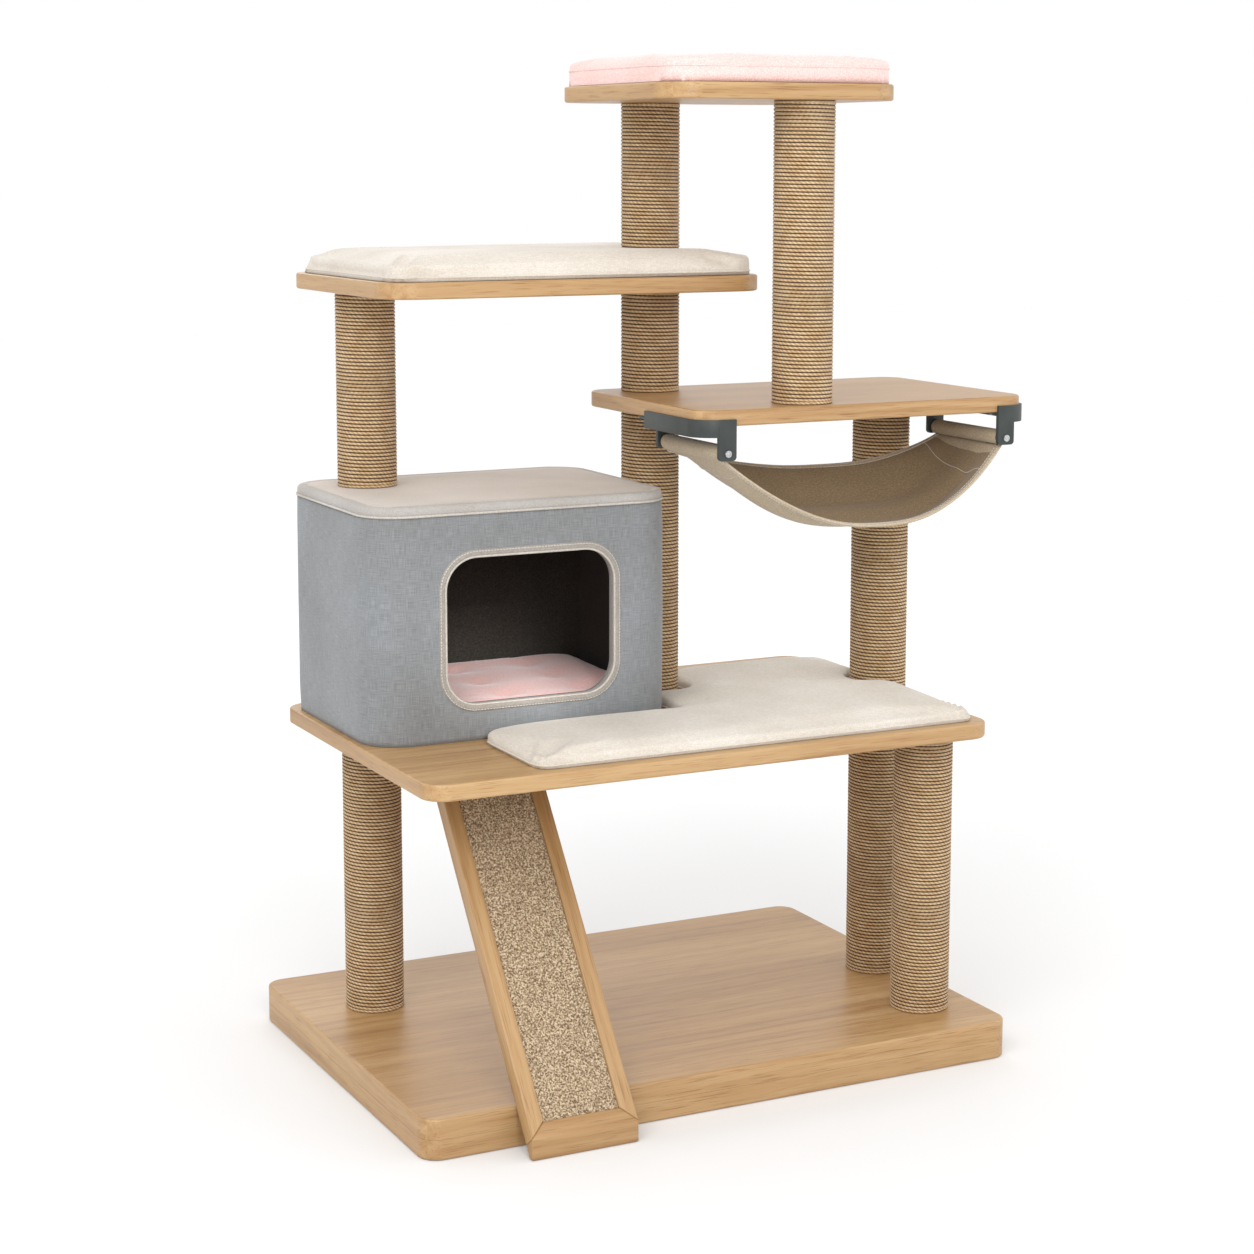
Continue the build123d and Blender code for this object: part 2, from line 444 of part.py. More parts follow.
def make_cloth():
    """A sheet that hangs deepest at its front edge, with a tube of cloth round each bar."""
    sheet = loft([cloth_section(*section) for section in CLOTH_SECTIONS], ruled=True)
    length = CLOTH_BACK - CLOTH_FRONT
    for bar_x in (BAR_LEFT_X, BAR_RIGHT_X):
        place = Pos(bar_x, (CLOTH_FRONT + CLOTH_BACK) / 2, BAR_HEIGHT) * Rot(90, 0, 0)
        sheet = sheet + place * Cylinder(SLEEVE_DIAMETER / 2, length)
    for bar_x in (BAR_LEFT_X, BAR_RIGHT_X):
        place = Pos(bar_x, (CLOTH_FRONT + CLOTH_BACK) / 2, BAR_HEIGHT) * Rot(90, 0, 0)
        sheet = sheet - place * Cylinder(SLEEVE_BORE / 2, length + 10)
    return sheet


# ---- ramp -----------------------------------------------------------------------------------------
SLOPE = radians(RAMP_SLOPE)
RAMP_PLANE = Plane(origin=(0, FOOT_Y, FOOT_FACE_HEIGHT), x_dir=(1, 0, 0), z_dir=(0, -sin(SLOPE), cos(SLOPE)))
# The hinge pin lies one knuckle radius under the ramp's walking surface.
HINGE_Y = FOOT_Y + ((HINGE_Z - FOOT_FACE_HEIGHT) * cos(SLOPE) + KNUCKLE_RADIUS) / sin(SLOPE)
HINGE_ALONG = (HINGE_Y - FOOT_Y) * cos(SLOPE) + (HINGE_Z - FOOT_FACE_HEIGHT) * sin(SLOPE)
RAMP_LENGTH = HINGE_ALONG - RAMP_END_GAP
HINGE_X = (sum(RAMP_X) - HINGE_LENGTH) / 2


def ramp_slab(outline, depths):
    """A block over an outline on the walking surface, between two depths below that surface."""
    face = make_face(Polyline(*outline, close=True))
    return extrude(RAMP_PLANE.offset(-depths[1]) * face, depths[1] - depths[0])


def ramp_profile():
    """The ramp's side view: upright foot face, level foot, and square upper end."""
    def on_slope(along, depth):
        return (FOOT_Y + along * cos(SLOPE) + depth * sin(SLOPE),
                FOOT_FACE_HEIGHT + along * sin(SLOPE) - depth * cos(SLOPE))
    lower_start = on_slope(0, RAMP_THICKNESS)
    on_floor = lower_start[0] - lower_start[1] * cos(SLOPE) / sin(SLOPE)
    points = [(FOOT_Y, 0), (FOOT_Y, FOOT_FACE_HEIGHT), on_slope(RAMP_LENGTH, 0),
              on_slope(RAMP_LENGTH, RAMP_THICKNESS), (on_floor, 0)]
    face = make_face(Polyline(*[(RAMP_X[0], y, z) for y, z in points], close=True))
    return extrude(face, RAMP_X[1] - RAMP_X[0], dir=(1, 0, 0))


def hinge_barrel(first, last, radius):
    """A round bar along the hinge axis between two distances along X."""
    middle = HINGE_X + (first + last) / 2
    return Pos(middle, HINGE_Y, HINGE_Z) * Rot(0, 90, 0) * Cylinder(radius, last - first)


def make_ramp():
    """A mitred frame of four rails round a panel with a woven mat, and its hinge."""
    profile = ramp_profile()
    left, right = RAMP_X
    inner_left, inner_right = left + RAIL_WIDTH, right - RAIL_WIDTH
    mat_top = RAMP_LENGTH - TOP_RAIL
    pieces = {
        "ramp_left_rail": [(left, 0), (inner_left, FOOT_RAIL), (inner_left, RAMP_LENGTH), (left, RAMP_LENGTH)],
        "ramp_right_rail": [(right, 0), (right, RAMP_LENGTH), (inner_right, RAMP_LENGTH),
                            (inner_right, FOOT_RAIL)],
        "ramp_foot_rail": [(left, BELOW_FOOT), (right, BELOW_FOOT), (right, 0), (inner_right, FOOT_RAIL),
                           (inner_left, FOOT_RAIL), (left, 0)],
        "ramp_top_rail": [(inner_left, mat_top), (inner_right, mat_top), (inner_right, RAMP_LENGTH),
                          (inner_left, RAMP_LENGTH)],
    }
    for name, outline in pieces.items():
        parts[name] = profile & ramp_slab(outline, THROUGH_RAMP)
    window = [(inner_left, FOOT_RAIL), (inner_right, FOOT_RAIL), (inner_right, mat_top), (inner_left, mat_top)]
    under_mat = MAT_DEPTH + MAT_THICKNESS
    parts["ramp_mat"] = ramp_slab(window, (MAT_DEPTH, under_mat))
    parts["ramp_panel"] = ramp_slab(window, (under_mat, under_mat + PANEL_THICKNESS))
    make_hinge()


def make_hinge():
    """A butt hinge: one leaf under the platform, one let into the ramp's top rail, and a pin."""
    step = HINGE_LENGTH / HINGE_KNUCKLES
    left, right = HINGE_X, HINGE_X + HINGE_LENGTH
    under = PLATFORM["z"]
    fixed = box_between((left, right), (HINGE_Y, HINGE_Y + HINGE_LEAF_WIDTH),
                        (under - HINGE_LEAF, under))
    leaf_low = HINGE_ALONG - HINGE_LEAF_WIDTH
    leaf_outline = [(left, leaf_low), (right, leaf_low), (right, HINGE_ALONG), (left, HINGE_ALONG)]
    moving = ramp_slab(leaf_outline, (0, HINGE_LEAF))
    for index in range(HINGE_KNUCKLES):
        span = (index * step, (index + 1) * step)
        cleared = (span[0] - KNUCKLE_CLEARANCE, span[1] + KNUCKLE_CLEARANCE)
        if index % 2 == 0:
            moving = moving - hinge_barrel(*cleared, KNUCKLE_RADIUS + KNUCKLE_CLEARANCE)
            fixed = fixed + hinge_barrel(*span, KNUCKLE_RADIUS)
        else:
            fixed = fixed - hinge_barrel(*cleared, KNUCKLE_RADIUS + KNUCKLE_CLEARANCE)
            own = (span[0] + KNUCKLE_CLEARANCE, span[1] - KNUCKLE_CLEARANCE)
            moving = moving + hinge_barrel(*own, KNUCKLE_RADIUS)
    bore = hinge_barrel(-5, HINGE_LENGTH + 5, HINGE_PIN / 2 + PIN_CLEARANCE)
    parts["hinge_pin"] = hinge_barrel(0, HINGE_LENGTH, HINGE_PIN / 2)
    rail = parts["ramp_top_rail"] - ramp_slab(leaf_outline, (-1, HINGE_LEAF))
    upward, inward = [], []
    for index in range(HINGE_SCREWS):
        x = HINGE_X + HINGE_LENGTH * (index + 0.5) / HINGE_SCREWS
        screw = Pos(x, HINGE_Y + HINGE_SCREW_SETBACK, under - HINGE_LEAF) * hinge_screw()
        upward.append(screw)
        fixed, parts["platform"] = fixed - screw, parts["platform"] - screw
        start = RAMP_PLANE.from_local_coords((x, HINGE_ALONG - HINGE_SCREW_SETBACK, 0))
        screw = Plane(origin=start, x_dir=(1, 0, 0), z_dir=-RAMP_PLANE.z_dir).location * hinge_screw()
        inward.append(screw)
        moving, rail = moving - screw, rail - screw
    parts["hinge_platform_screws"] = Compound(upward)
    parts["hinge_ramp_screws"] = Compound(inward)
    parts["hinge_fixed_leaf"] = fixed - bore
    parts["hinge_ramp_leaf"] = moving - bore
    parts["ramp_top_rail"] = rail


def hinge_screw():
    """A small countersunk screw pointing up from the origin, which is the middle of its head's face."""
    radius = HINGE_SCREW_DIAMETER / 2
    head = Pos(0, 0, HINGE_LEAF / 2) * Cone(HINGE_SCREW_HEAD / 2, radius, HINGE_LEAF)
    return head + Pos(0, 0, HINGE_LEAF + HINGE_SCREW_LENGTH / 2) * Cylinder(radius, HINGE_SCREW_LENGTH)


make_base()
make_boards()
make_posts()
make_bolts()
make_cubby()
make_cushions()
make_hammock()
make_ramp()

os.makedirs("parts", exist_ok=True)
for node, shape in parts.items():
    export_step(shape, f"parts/{node}.step")
print(len(parts), "nodes written")
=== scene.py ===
# %% [markdown]
# # A cat tree, finished piece by piece
# The rigid parts of this cat tree arrive as a fixed frame, already in their places. This lesson gives each
# of them its real finish, and makes again the soft and wound pieces that plain solids can only stand for:
# sisal rope, cushions, a fabric cubby, a hammock and a looped mat. First the frame is loaded, before
# anything else exists.

# %% Load the frame
import json
import math
import random

import bmesh
import bpy
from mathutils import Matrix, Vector, noise


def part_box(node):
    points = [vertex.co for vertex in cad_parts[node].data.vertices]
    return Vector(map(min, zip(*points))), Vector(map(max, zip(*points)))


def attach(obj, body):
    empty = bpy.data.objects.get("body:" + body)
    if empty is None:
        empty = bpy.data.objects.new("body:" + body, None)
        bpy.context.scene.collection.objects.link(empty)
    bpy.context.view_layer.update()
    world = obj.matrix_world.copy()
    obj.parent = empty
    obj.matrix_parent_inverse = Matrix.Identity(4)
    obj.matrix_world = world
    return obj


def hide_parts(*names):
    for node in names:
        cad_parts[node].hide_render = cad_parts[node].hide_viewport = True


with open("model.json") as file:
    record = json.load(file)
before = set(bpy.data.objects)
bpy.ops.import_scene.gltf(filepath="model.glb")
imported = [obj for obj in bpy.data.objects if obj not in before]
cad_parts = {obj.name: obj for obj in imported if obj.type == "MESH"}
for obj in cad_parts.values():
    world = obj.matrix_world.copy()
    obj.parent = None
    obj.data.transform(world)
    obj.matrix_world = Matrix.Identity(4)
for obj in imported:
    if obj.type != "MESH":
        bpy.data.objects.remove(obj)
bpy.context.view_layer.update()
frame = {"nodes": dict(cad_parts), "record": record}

# %% [markdown]
# ## Camera and light
# The camera stands a little below the top board's height and looks down slightly. It is a long lens, so
# uprights stay nearly upright. Light comes from a white room: an even, pale surround, a wide soft panel
# from the upper left, and weaker ones from the right, the front and behind, which leave soft shadows under
# each board. A narrow lamp shines through the cubby's doorway onto the cushion inside.

# %% Camera
MM = 0.001
CAMERA_PLACE = (-1.5334, -3.0774, 1.2063)
CAMERA_TURN, CAMERA_DOWN = math.radians(26.447), math.radians(8.441)
camera = bpy.data.objects.new("camera", bpy.data.cameras.new("camera"))
bpy.context.scene.collection.objects.link(camera)
camera.location = CAMERA_PLACE
camera.rotation_euler = (math.pi / 2 - CAMERA_DOWN, 0, -CAMERA_TURN)
camera.data.sensor_width, camera.data.lens = 36.0, 74.07
camera.data.shift_y = -0.07
bpy.context.scene.camera = camera


# %% Lights, surround and floor
def soft_panel(name, place, aim, size, power):
    """A square area light that faces a point."""
    light = bpy.data.lights.new(name, "AREA")
    light.size, light.energy = size, power
    panel = bpy.data.objects.new(name, light)
    bpy.context.scene.collection.objects.link(panel)
    panel.location = place
    panel.rotation_euler = (Vector(aim) - Vector(place)).to_track_quat("-Z", "Y").to_euler()


soft_panel("window_panel", (-2.6, -2.2, 3.4), (0, 0, 0.6), 2.2, 62)
soft_panel("fill_panel", (3.2, -1.2, 2.0), (0, 0, 0.7), 2.5, 14)
soft_panel("front_panel", (-0.75, -2.9, 1.75), (-0.19, -0.05, 0.5), 1.0, 26)
soft_panel("back_panel", (0.6, 3.0, 2.8), (0, 0, 0.8), 2.0, 22)
NEST_LAMP_PLACE, NEST_PLACE = Vector((-0.75, -2.9, 1.75)), Vector((-0.17, 0.04, 0.51))
NEST_LAMP_POWER, NEST_LAMP_ANGLE, NEST_LAMP_RADIUS, NEST_LAMP_BLEND = 360, math.radians(4.4), 0.06, 0.9
snoot = bpy.data.objects.new("nest_snoot", bpy.data.lights.new("nest_snoot", "SPOT"))
bpy.context.scene.collection.objects.link(snoot)
snoot.data.energy, snoot.data.spot_size = NEST_LAMP_POWER, NEST_LAMP_ANGLE
snoot.data.shadow_soft_size, snoot.data.spot_blend = NEST_LAMP_RADIUS, NEST_LAMP_BLEND
snoot.location = NEST_LAMP_PLACE
snoot.rotation_euler = (NEST_PLACE - NEST_LAMP_PLACE).to_track_quat("-Z", "Y").to_euler()
world = bpy.data.worlds.new("white_room")
bpy.context.scene.world = world
world.use_nodes = True
world.node_tree.nodes["Background"].inputs["Color"].default_value = (1, 1, 1, 1)
world.node_tree.nodes["Background"].inputs["Strength"].default_value = 1.0
bpy.context.scene.view_settings.view_transform = "Standard"

# %% [markdown]
# ## Helpers for materials
# Colours are written as they look on a screen, in hex, and a shader wants them linear. One function turns
# them over. Another adds a node with its settings and its links, so a material reads from top to bottom
# like a recipe. Wood, cloth and plastic all need noise that is stretched along one direction, so that
# pattern has a function too.

# %% Colour and node helpers
MATH, COLOUR_RAMP = "ShaderNodeMath", "ShaderNodeValToRGB"
MIX, BUMP = "ShaderNodeMix", "ShaderNodeBump"
SHADED_BY = {"data_type": "RGBA", "blend_type": "MULTIPLY"}


def linear(hex_colour):
    """The linear colour of a hex colour."""
    channels = [int(hex_colour[i:i + 2], 16) / 255 for i in (1, 3, 5)]
    return [c / 12.92 if c <= 0.04045 else ((c + 0.055) / 1.055) ** 2.4 for c in channels] + [1.0]


def feed(tree, socket, value):
    """Links a node or an output to a socket, or sets the socket to a plain value."""
    if isinstance(value, bpy.types.Node):
        value = next(output for output in value.outputs if output.enabled)
    if isinstance(value, bpy.types.NodeSocket):
        tree.links.new(value, socket)
    else:
        socket.default_value = value


def add_node(tree, kind, inputs=None, stops=(), **settings):
    """Adds a node with its settings, its inputs' values or links, and a colour ramp's (position, hex) stops."""
    node = tree.nodes.new(kind)
    for name, value in settings.items():
        setattr(node, name, value)
    for socket, value in (inputs or {}).items():
        feed(tree, node.inputs[socket], value)
    if stops:
        elements = node.color_ramp.elements
        while len(elements) < len(stops):
            elements.new(0.5)
        for element, (position, colour) in zip(elements, stops):
            element.position, element.color = position, linear(colour)
    return node


def start_material(name, roughness, sheen=0.0, metallic=0.0):
    """An empty material: its node tree, its shader and the piece's own coordinates."""
    material = bpy.data.materials.new(name)
    material.use_nodes = True
    tree = material.node_tree
    shader = tree.nodes["Principled BSDF"]
    shader.inputs["Roughness"].default_value = roughness
    shader.inputs["Sheen Weight"].default_value = sheen
    shader.inputs["Metallic"].default_value = metallic
    shader.inputs["Specular IOR Level"].default_value = 0.5 if metallic or roughness < 0.6 else 0.25
    place = add_node(tree, "ShaderNodeTexCoord").outputs["Object"]
    return material, tree, shader, place


def streaks(tree, place, repeats, detail=3.0):
    """Noise with a different number of repeats per metre along each axis."""
    stretched = add_node(tree, "ShaderNodeMapping", {"Vector": place, "Scale": repeats})
    return add_node(tree, "ShaderNodeTexNoise", {"Vector": stretched, "Scale": 1.0, "Detail": detail})


# %% [markdown]
# ## Oak
# The boards are oak veneer under a matt lacquer. Oak shows long growth bands, short dark pores along the
# grain, and a slow change of tone from stave to stave. All run along the board, and the edge band on the
# short ends runs along the end, so the pattern turns there. The ramp's rails are the same oak, turned to
# the ramp's slope.

# %% Oak material
STAVE_WIDTH, PORE_LENGTH, PORE_WIDTH, BAND_WIDTH = 0.11, 0.045, 0.0012, 0.010
BANDS_ALONG, STAVES_ALONG = 1.1, 0.9
BEND, BEND_REPEATS = 0.055, (1.6, 7, 7)
END_FACING = 0.75


def oak(name, turn=(0, 0, 0), end_band=True, light="#BE9D71", middle="#B38F62", dark="#A27C4F"):
    """Matt-lacquered oak with its grain along X, after a turn about the origin."""
    material, tree, shader, place = start_material(name, 0.52)
    if end_band:
        facing = add_node(tree, "ShaderNodeNewGeometry").outputs["Normal"]
        side = add_node(tree, "ShaderNodeSeparateXYZ", {0: facing}).outputs["X"]
        sideways = add_node(tree, MATH, {0: side}, operation="ABSOLUTE")
        on_end = add_node(tree, MATH, {0: sideways, 1: END_FACING}, operation="GREATER_THAN")
        axes = add_node(tree, "ShaderNodeSeparateXYZ", {0: place}).outputs
        turned = add_node(tree, "ShaderNodeCombineXYZ", {0: axes["Y"], 1: axes["X"], 2: axes["Z"]})
        place = add_node(tree, MIX, {0: on_end, 4: place, 5: turned}, data_type="VECTOR")
    if any(turn):
        place = add_node(tree, "ShaderNodeMapping", {"Vector": place, "Rotation": turn})
    warp = streaks(tree, place, BEND_REPEATS, 2.0).outputs["Color"]
    bent = add_node(tree, "ShaderNodeVectorMath", {0: warp, "Scale": BEND}, operation="SCALE")
    along = add_node(tree, "ShaderNodeVectorMath", {0: place, 1: bent}, operation="ADD")
    bands = streaks(tree, along, (BANDS_ALONG, 1 / BAND_WIDTH, 1 / BAND_WIDTH), 5.0)
    pores = streaks(tree, place, (1 / PORE_LENGTH, 1 / PORE_WIDTH, 1 / PORE_WIDTH), 2.0)
    staves = streaks(tree, place, (STAVES_ALONG, 1 / STAVE_WIDTH, 1 / STAVE_WIDTH), 1.0)
    wood = add_node(tree, COLOUR_RAMP, {"Fac": bands}, stops=((0.26, dark), (0.45, middle), (0.66, light)))
    stave_tone = add_node(tree, COLOUR_RAMP, {"Fac": staves}, stops=((0.35, "#E9E2DA"), (0.65, "#FFFFFF")))
    pore_tone = add_node(tree, COLOUR_RAMP, {"Fac": pores}, stops=((0.30, "#BFA78C"), (0.44, "#FFFFFF")))
    wood = add_node(tree, MIX, {0: 1.0, 6: wood, 7: stave_tone}, **SHADED_BY)
    wood = add_node(tree, MIX, {0: 0.6, 6: wood, 7: pore_tone}, **SHADED_BY)
    gloss = add_node(tree, COLOUR_RAMP, {"Fac": bands}, stops=((0.3, "#9A9A9A"), (0.7, "#B4B4B4")))
    relief = add_node(tree, BUMP, {"Height": pores, "Distance": 0.12 * MM, "Strength": 0.6})
    feed(tree, shader.inputs["Base Color"], wood)
    feed(tree, shader.inputs["Roughness"], gloss)
    feed(tree, shader.inputs["Normal"], relief)
    return material


oak_veneer = oak("lacquered_oak_veneer")
RAMP_SLOPE = math.radians(53.0)
rail_oak = oak("oiled_oak_rail", turn=(-RAMP_SLOPE, 0, math.pi / 2), end_band=False)
cross_rail_oak = oak("oiled_oak_cross_rail", turn=(-RAMP_SLOPE, 0, 0), end_band=False)
print("oak materials:", oak_veneer.name, rail_oak.name, cross_rail_oak.name)

# %% [markdown]
# ## Sisal rope
# Sisal is a stiff plant fibre, laid up in three strands. Its strands show as slanted lumps, so the pattern
# follows the rope's own length and girth, which the winding stores as an attribute. Where one turn meets
# the next the rope faces up or down and lies in its neighbour's shade, so those faces are darker.

# %% Sisal material
STRANDS, LAY_LENGTH = 3, 0.018
FIBRES_ALONG, FIBRES_ROUND = 260.0, 22.0
sisal, sisal_tree, sisal_shader, sisal_place = start_material("laid_sisal_rope", 0.82, sheen=0.15)
run = add_node(sisal_tree, "ShaderNodeAttribute", attribute_name="rope_run").outputs["Vector"]
run_parts = add_node(sisal_tree, "ShaderNodeSeparateXYZ", {0: run}).outputs
turns_along = add_node(sisal_tree, MATH, {0: run_parts["X"], 1: LAY_LENGTH}, operation="DIVIDE")
phase = add_node(sisal_tree, MATH, {0: run_parts["Y"], 1: turns_along}, operation="SUBTRACT")
angle = add_node(sisal_tree, MATH, {0: phase, 1: math.pi * STRANDS}, operation="MULTIPLY")
wave = add_node(sisal_tree, MATH, {0: angle}, operation="SINE")
strand = add_node(sisal_tree, MATH, {0: wave}, operation="ABSOLUTE")
fibre_along = add_node(sisal_tree, MATH, {0: run_parts["X"], 1: FIBRES_ALONG}, operation="MULTIPLY")
fibre_round = add_node(sisal_tree, MATH, {0: phase, 1: FIBRES_ROUND}, operation="MULTIPLY")
fibre_place = add_node(sisal_tree, "ShaderNodeCombineXYZ", {0: fibre_along, 1: fibre_round})
fibre = add_node(sisal_tree, "ShaderNodeTexNoise", {"Vector": fibre_place, "Scale": 1.0, "Detail": 3.0})
facing = add_node(sisal_tree, "ShaderNodeNewGeometry").outputs["Normal"]
upwards = add_node(sisal_tree, "ShaderNodeSeparateXYZ", {0: facing}).outputs["Z"]
levelness = add_node(sisal_tree, MATH, {0: upwards}, operation="ABSOLUTE")
blotches = streaks(sisal_tree, sisal_place, (60, 60, 90))

# The strand wave paints the grooves between strands darker than their crowns: painted shade.
tone = add_node(sisal_tree, COLOUR_RAMP, {"Fac": strand},
                stops=((0.0, "#9F8361"), (0.35, "#C2A985"), (0.9, "#DCC7A6")))
for strength, factor, stops in (
        (0.7, fibre, ((0.3, "#A98D68"), (0.5, "#F4EBDD"), (0.72, "#FFFFFF"))),
        (1.0, levelness, ((0.45, "#FFFFFF"), (0.85, "#7A6040"))),
        (0.8, blotches, ((0.35, "#E8DAC6"), (0.65, "#FFFFFF")))):
    shade = add_node(sisal_tree, COLOUR_RAMP, {"Fac": factor}, stops=stops)
    tone = add_node(sisal_tree, MIX, {0: strength, 6: tone, 7: shade}, **SHADED_BY)
feed(sisal_tree, sisal_shader.inputs["Base Color"], tone)
half_fibre = add_node(sisal_tree, MATH, {0: fibre, 1: 0.5}, operation="MULTIPLY")
lumps = add_node(sisal_tree, MATH, {0: strand, 1: half_fibre}, operation="ADD")
relief = add_node(sisal_tree, BUMP, {"Height": lumps, "Distance": 0.5 * MM, "Strength": 0.7})
feed(sisal_tree, sisal_shader.inputs["Normal"], relief)

# %% [markdown]
# ## Cloths
# Woven cloths show crossed threads: two or three stretched noises, one along each axis, cross on every face
# whichever way it points. Threads on real cloth lie 0.5 to 1 mm apart, which is almost too fine to show, so
# they are drawn 0.8 to 1.5 mm apart. The linen cover follows its own UV map, so its threads turn the
# corners with it.


# %% Woven and plush materials
def woven(name, low, middle, high, thread=0.0012, slub=3.0, relief=0.25, sheen=0.2, by_uv=False, contrast=0.1):
    """A cloth of crossed threads with a soft sheen. A slub is a thread's even length, counted in its widths."""
    material, tree, shader, place = start_material(name, 0.9, sheen=sheen)
    if by_uv:
        place = add_node(tree, "ShaderNodeUVMap").outputs[0]
    fine, long = 1 / thread, 1 / (thread * slub)
    ways = ((long, fine, fine), (fine, long, fine), (fine, fine, long))[:2 if by_uv else 3]
    weave = [streaks(tree, place, way, 2.0) for way in ways]
    cross = weave[0]
    for threads in weave[1:]:
        cross = add_node(tree, MATH, {0: cross, 1: threads}, operation="ADD")
    cross = add_node(tree, MATH, {0: cross, 1: float(len(weave))}, operation="DIVIDE")
    colour = add_node(tree, COLOUR_RAMP, {"Fac": cross},
                      stops=((0.5 - contrast, low), (0.5, middle), (0.5 + contrast, high)))
    cloudy = add_node(tree, COLOUR_RAMP, {"Fac": streaks(tree, place, (9, 9, 9))},
                      stops=((0.3, "#EFECE8"), (0.7, "#FFFFFF")))
    colour = add_node(tree, MIX, {0: 1.0, 6: colour, 7: cloudy}, **SHADED_BY)
    raised = add_node(tree, BUMP, {"Height": cross, "Distance": relief * MM, "Strength": 1.0})
    feed(tree, shader.inputs["Base Color"], colour)
    feed(tree, shader.inputs["Normal"], raised)
    return material


grey_linen = woven("slubbed_grey_linen", "#727578", "#838689", "#94979A", 0.0008, 22.0, 0.2, by_uv=True,
                   contrast=0.16)
roof_twill = woven("taupe_twill", "#BBB2A9", "#C5BCB3", "#CFC7BF", 0.0010, 3.0, 0.12)
rim_linen = woven("pale_grey_binding", "#A19E9A", "#ACA8A4", "#B7B3AF", 0.0010, 4.0, 0.12)
cream_weave = woven("cream_cotton_weave", "#C9C2B7", "#D3CCC2", "#DDD7CE", 0.0012, 6.0, 0.25)
canvas = woven("beige_cotton_canvas", "#A4947C", "#B4A58C", "#C5B7A0", 0.0012, 3.0, 0.25)
# A darker copy of the canvas for the hammock's inside: painted shade, for the shade in the hollow of the
# hanging cloth.
shaded_inner_canvas = woven("canvas_inside_painted_shade", "#7E6B52", "#8B785D", "#9A876B", 0.0012, 3.0, 0.25)
hem_canvas = woven("beige_canvas_hem", "#AB9B83", "#BAAB94", "#CABDA8", 0.0012, 3.0, 0.25)
trim_binding = woven("greige_padded_binding", "#8D8882", "#98938D", "#A49F98", 0.0012, 3.0, 0.15)
piping_cloth = woven("pale_piping", "#AFA9A1", "#BDB7AF", "#CAC5BD", 0.0015, 3.0, 0.15)
blush_plush = woven("blush_short_plush", "#E3BDB9", "#EECAC6", "#F8DAD6", 0.0018, 1.3, 0.4, sheen=0.4)
charcoal_felt = woven("charcoal_felt", "#302C28", "#3A3631", "#46413C", 0.0014, 2.0, 0.25, sheen=0.1)
# A pinker copy of the blush plush for the cushion inside the cubby: painted light, lifting it in the cubby's
# shade.
lit_nest_plush = woven("cubby_plush_painted_light", "#EDB3AC", "#F5C1BA", "#FACEC8", 0.0018, 1.3, 0.4, sheen=0.4)
thread_pale = woven("pale_sewing_thread", "#C9C2B8", "#D6D0C7", "#E2DDD5", 0.001, 2.0, 0.1)


# %% [markdown]
# ## Plastic, steel, beech and card
# The brackets are moulded plastic with a fine mould texture, a little paler where hands touch it. The
# screws and bolts are zinc-plated steel. The hammock's bars are turned beech, and the posts' cores are
# wound kraft paper.


# %% Plastic, steel, beech and card materials
def moulded_plastic(name, colour, worn):
    """Fine-textured injection-moulded plastic with a soft broken gloss."""
    material, tree, shader, place = start_material(name, 0.45)
    grain = streaks(tree, place, (900, 900, 900), 2.0)
    wear = streaks(tree, place, (30, 30, 30))
    tone = add_node(tree, COLOUR_RAMP, {"Fac": wear}, stops=((0.35, colour), (0.75, worn)))
    gloss = add_node(tree, COLOUR_RAMP, {"Fac": grain}, stops=((0.3, "#A0A0A0"), (0.7, "#C0C0C0")))
    relief = add_node(tree, BUMP, {"Height": grain, "Distance": 0.08 * MM, "Strength": 0.5})
    feed(tree, shader.inputs["Base Color"], tone)
    feed(tree, shader.inputs["Roughness"], gloss)
    feed(tree, shader.inputs["Normal"], relief)
    return material


def plated_steel(name):
    """Zinc-plated steel: a cool grey metal with fine cloudy spangle."""
    material, tree, shader, place = start_material(name, 0.35, metallic=1.0)
    cloud = streaks(tree, place, (350, 350, 350))
    tone = add_node(tree, COLOUR_RAMP, {"Fac": cloud}, stops=((0.3, "#A9ABAD"), (0.7, "#D5D7D9")))
    gloss = add_node(tree, COLOUR_RAMP, {"Fac": cloud}, stops=((0.3, "#808080"), (0.7, "#B0B0B0")))
    feed(tree, shader.inputs["Base Color"], tone)
    feed(tree, shader.inputs["Roughness"], gloss)
    return material


slate_plastic = moulded_plastic("slate_textured_plastic", "#2C3230", "#373D3B")
zinc_steel = plated_steel("zinc_plated_steel")
beech = oak("turned_beech_bar", turn=(0, 0, math.pi / 2), light="#DDC19A", middle="#CDAE85", dark="#BB9A70")
card = oak("kraft_paper_tube", light="#A08462", middle="#94785A", dark="#866B4E")

SLOT_FINISH = {"oak_board": oak_veneer, "sisal_rope": sisal, "paper_tube": card, "plug_wood": beech,
               "zinc_steel": zinc_steel, "panel_board": card, "felt_faced_board": charcoal_felt,
               "cubby_linen": grey_linen, "roof_fabric": roof_twill, "lining_felt": charcoal_felt,
               "trim_fabric": trim_binding, "blush_plush": blush_plush, "cream_fabric": cream_weave,
               "hammock_canvas": canvas, "bracket_plastic": slate_plastic, "bar_wood": beech,
               "ramp_oak": rail_oak, "ramp_carpet": card}
node_slot = {row["node"]: row["material_slot"] for row in frame["record"]["subparts"]}
for node, cad_object in frame["nodes"].items():
    cad_object.data.materials.clear()
    cad_object.data.materials.append(SLOT_FINISH[node_slot[node]])
print(len(frame["nodes"]), "frame nodes have their finish")
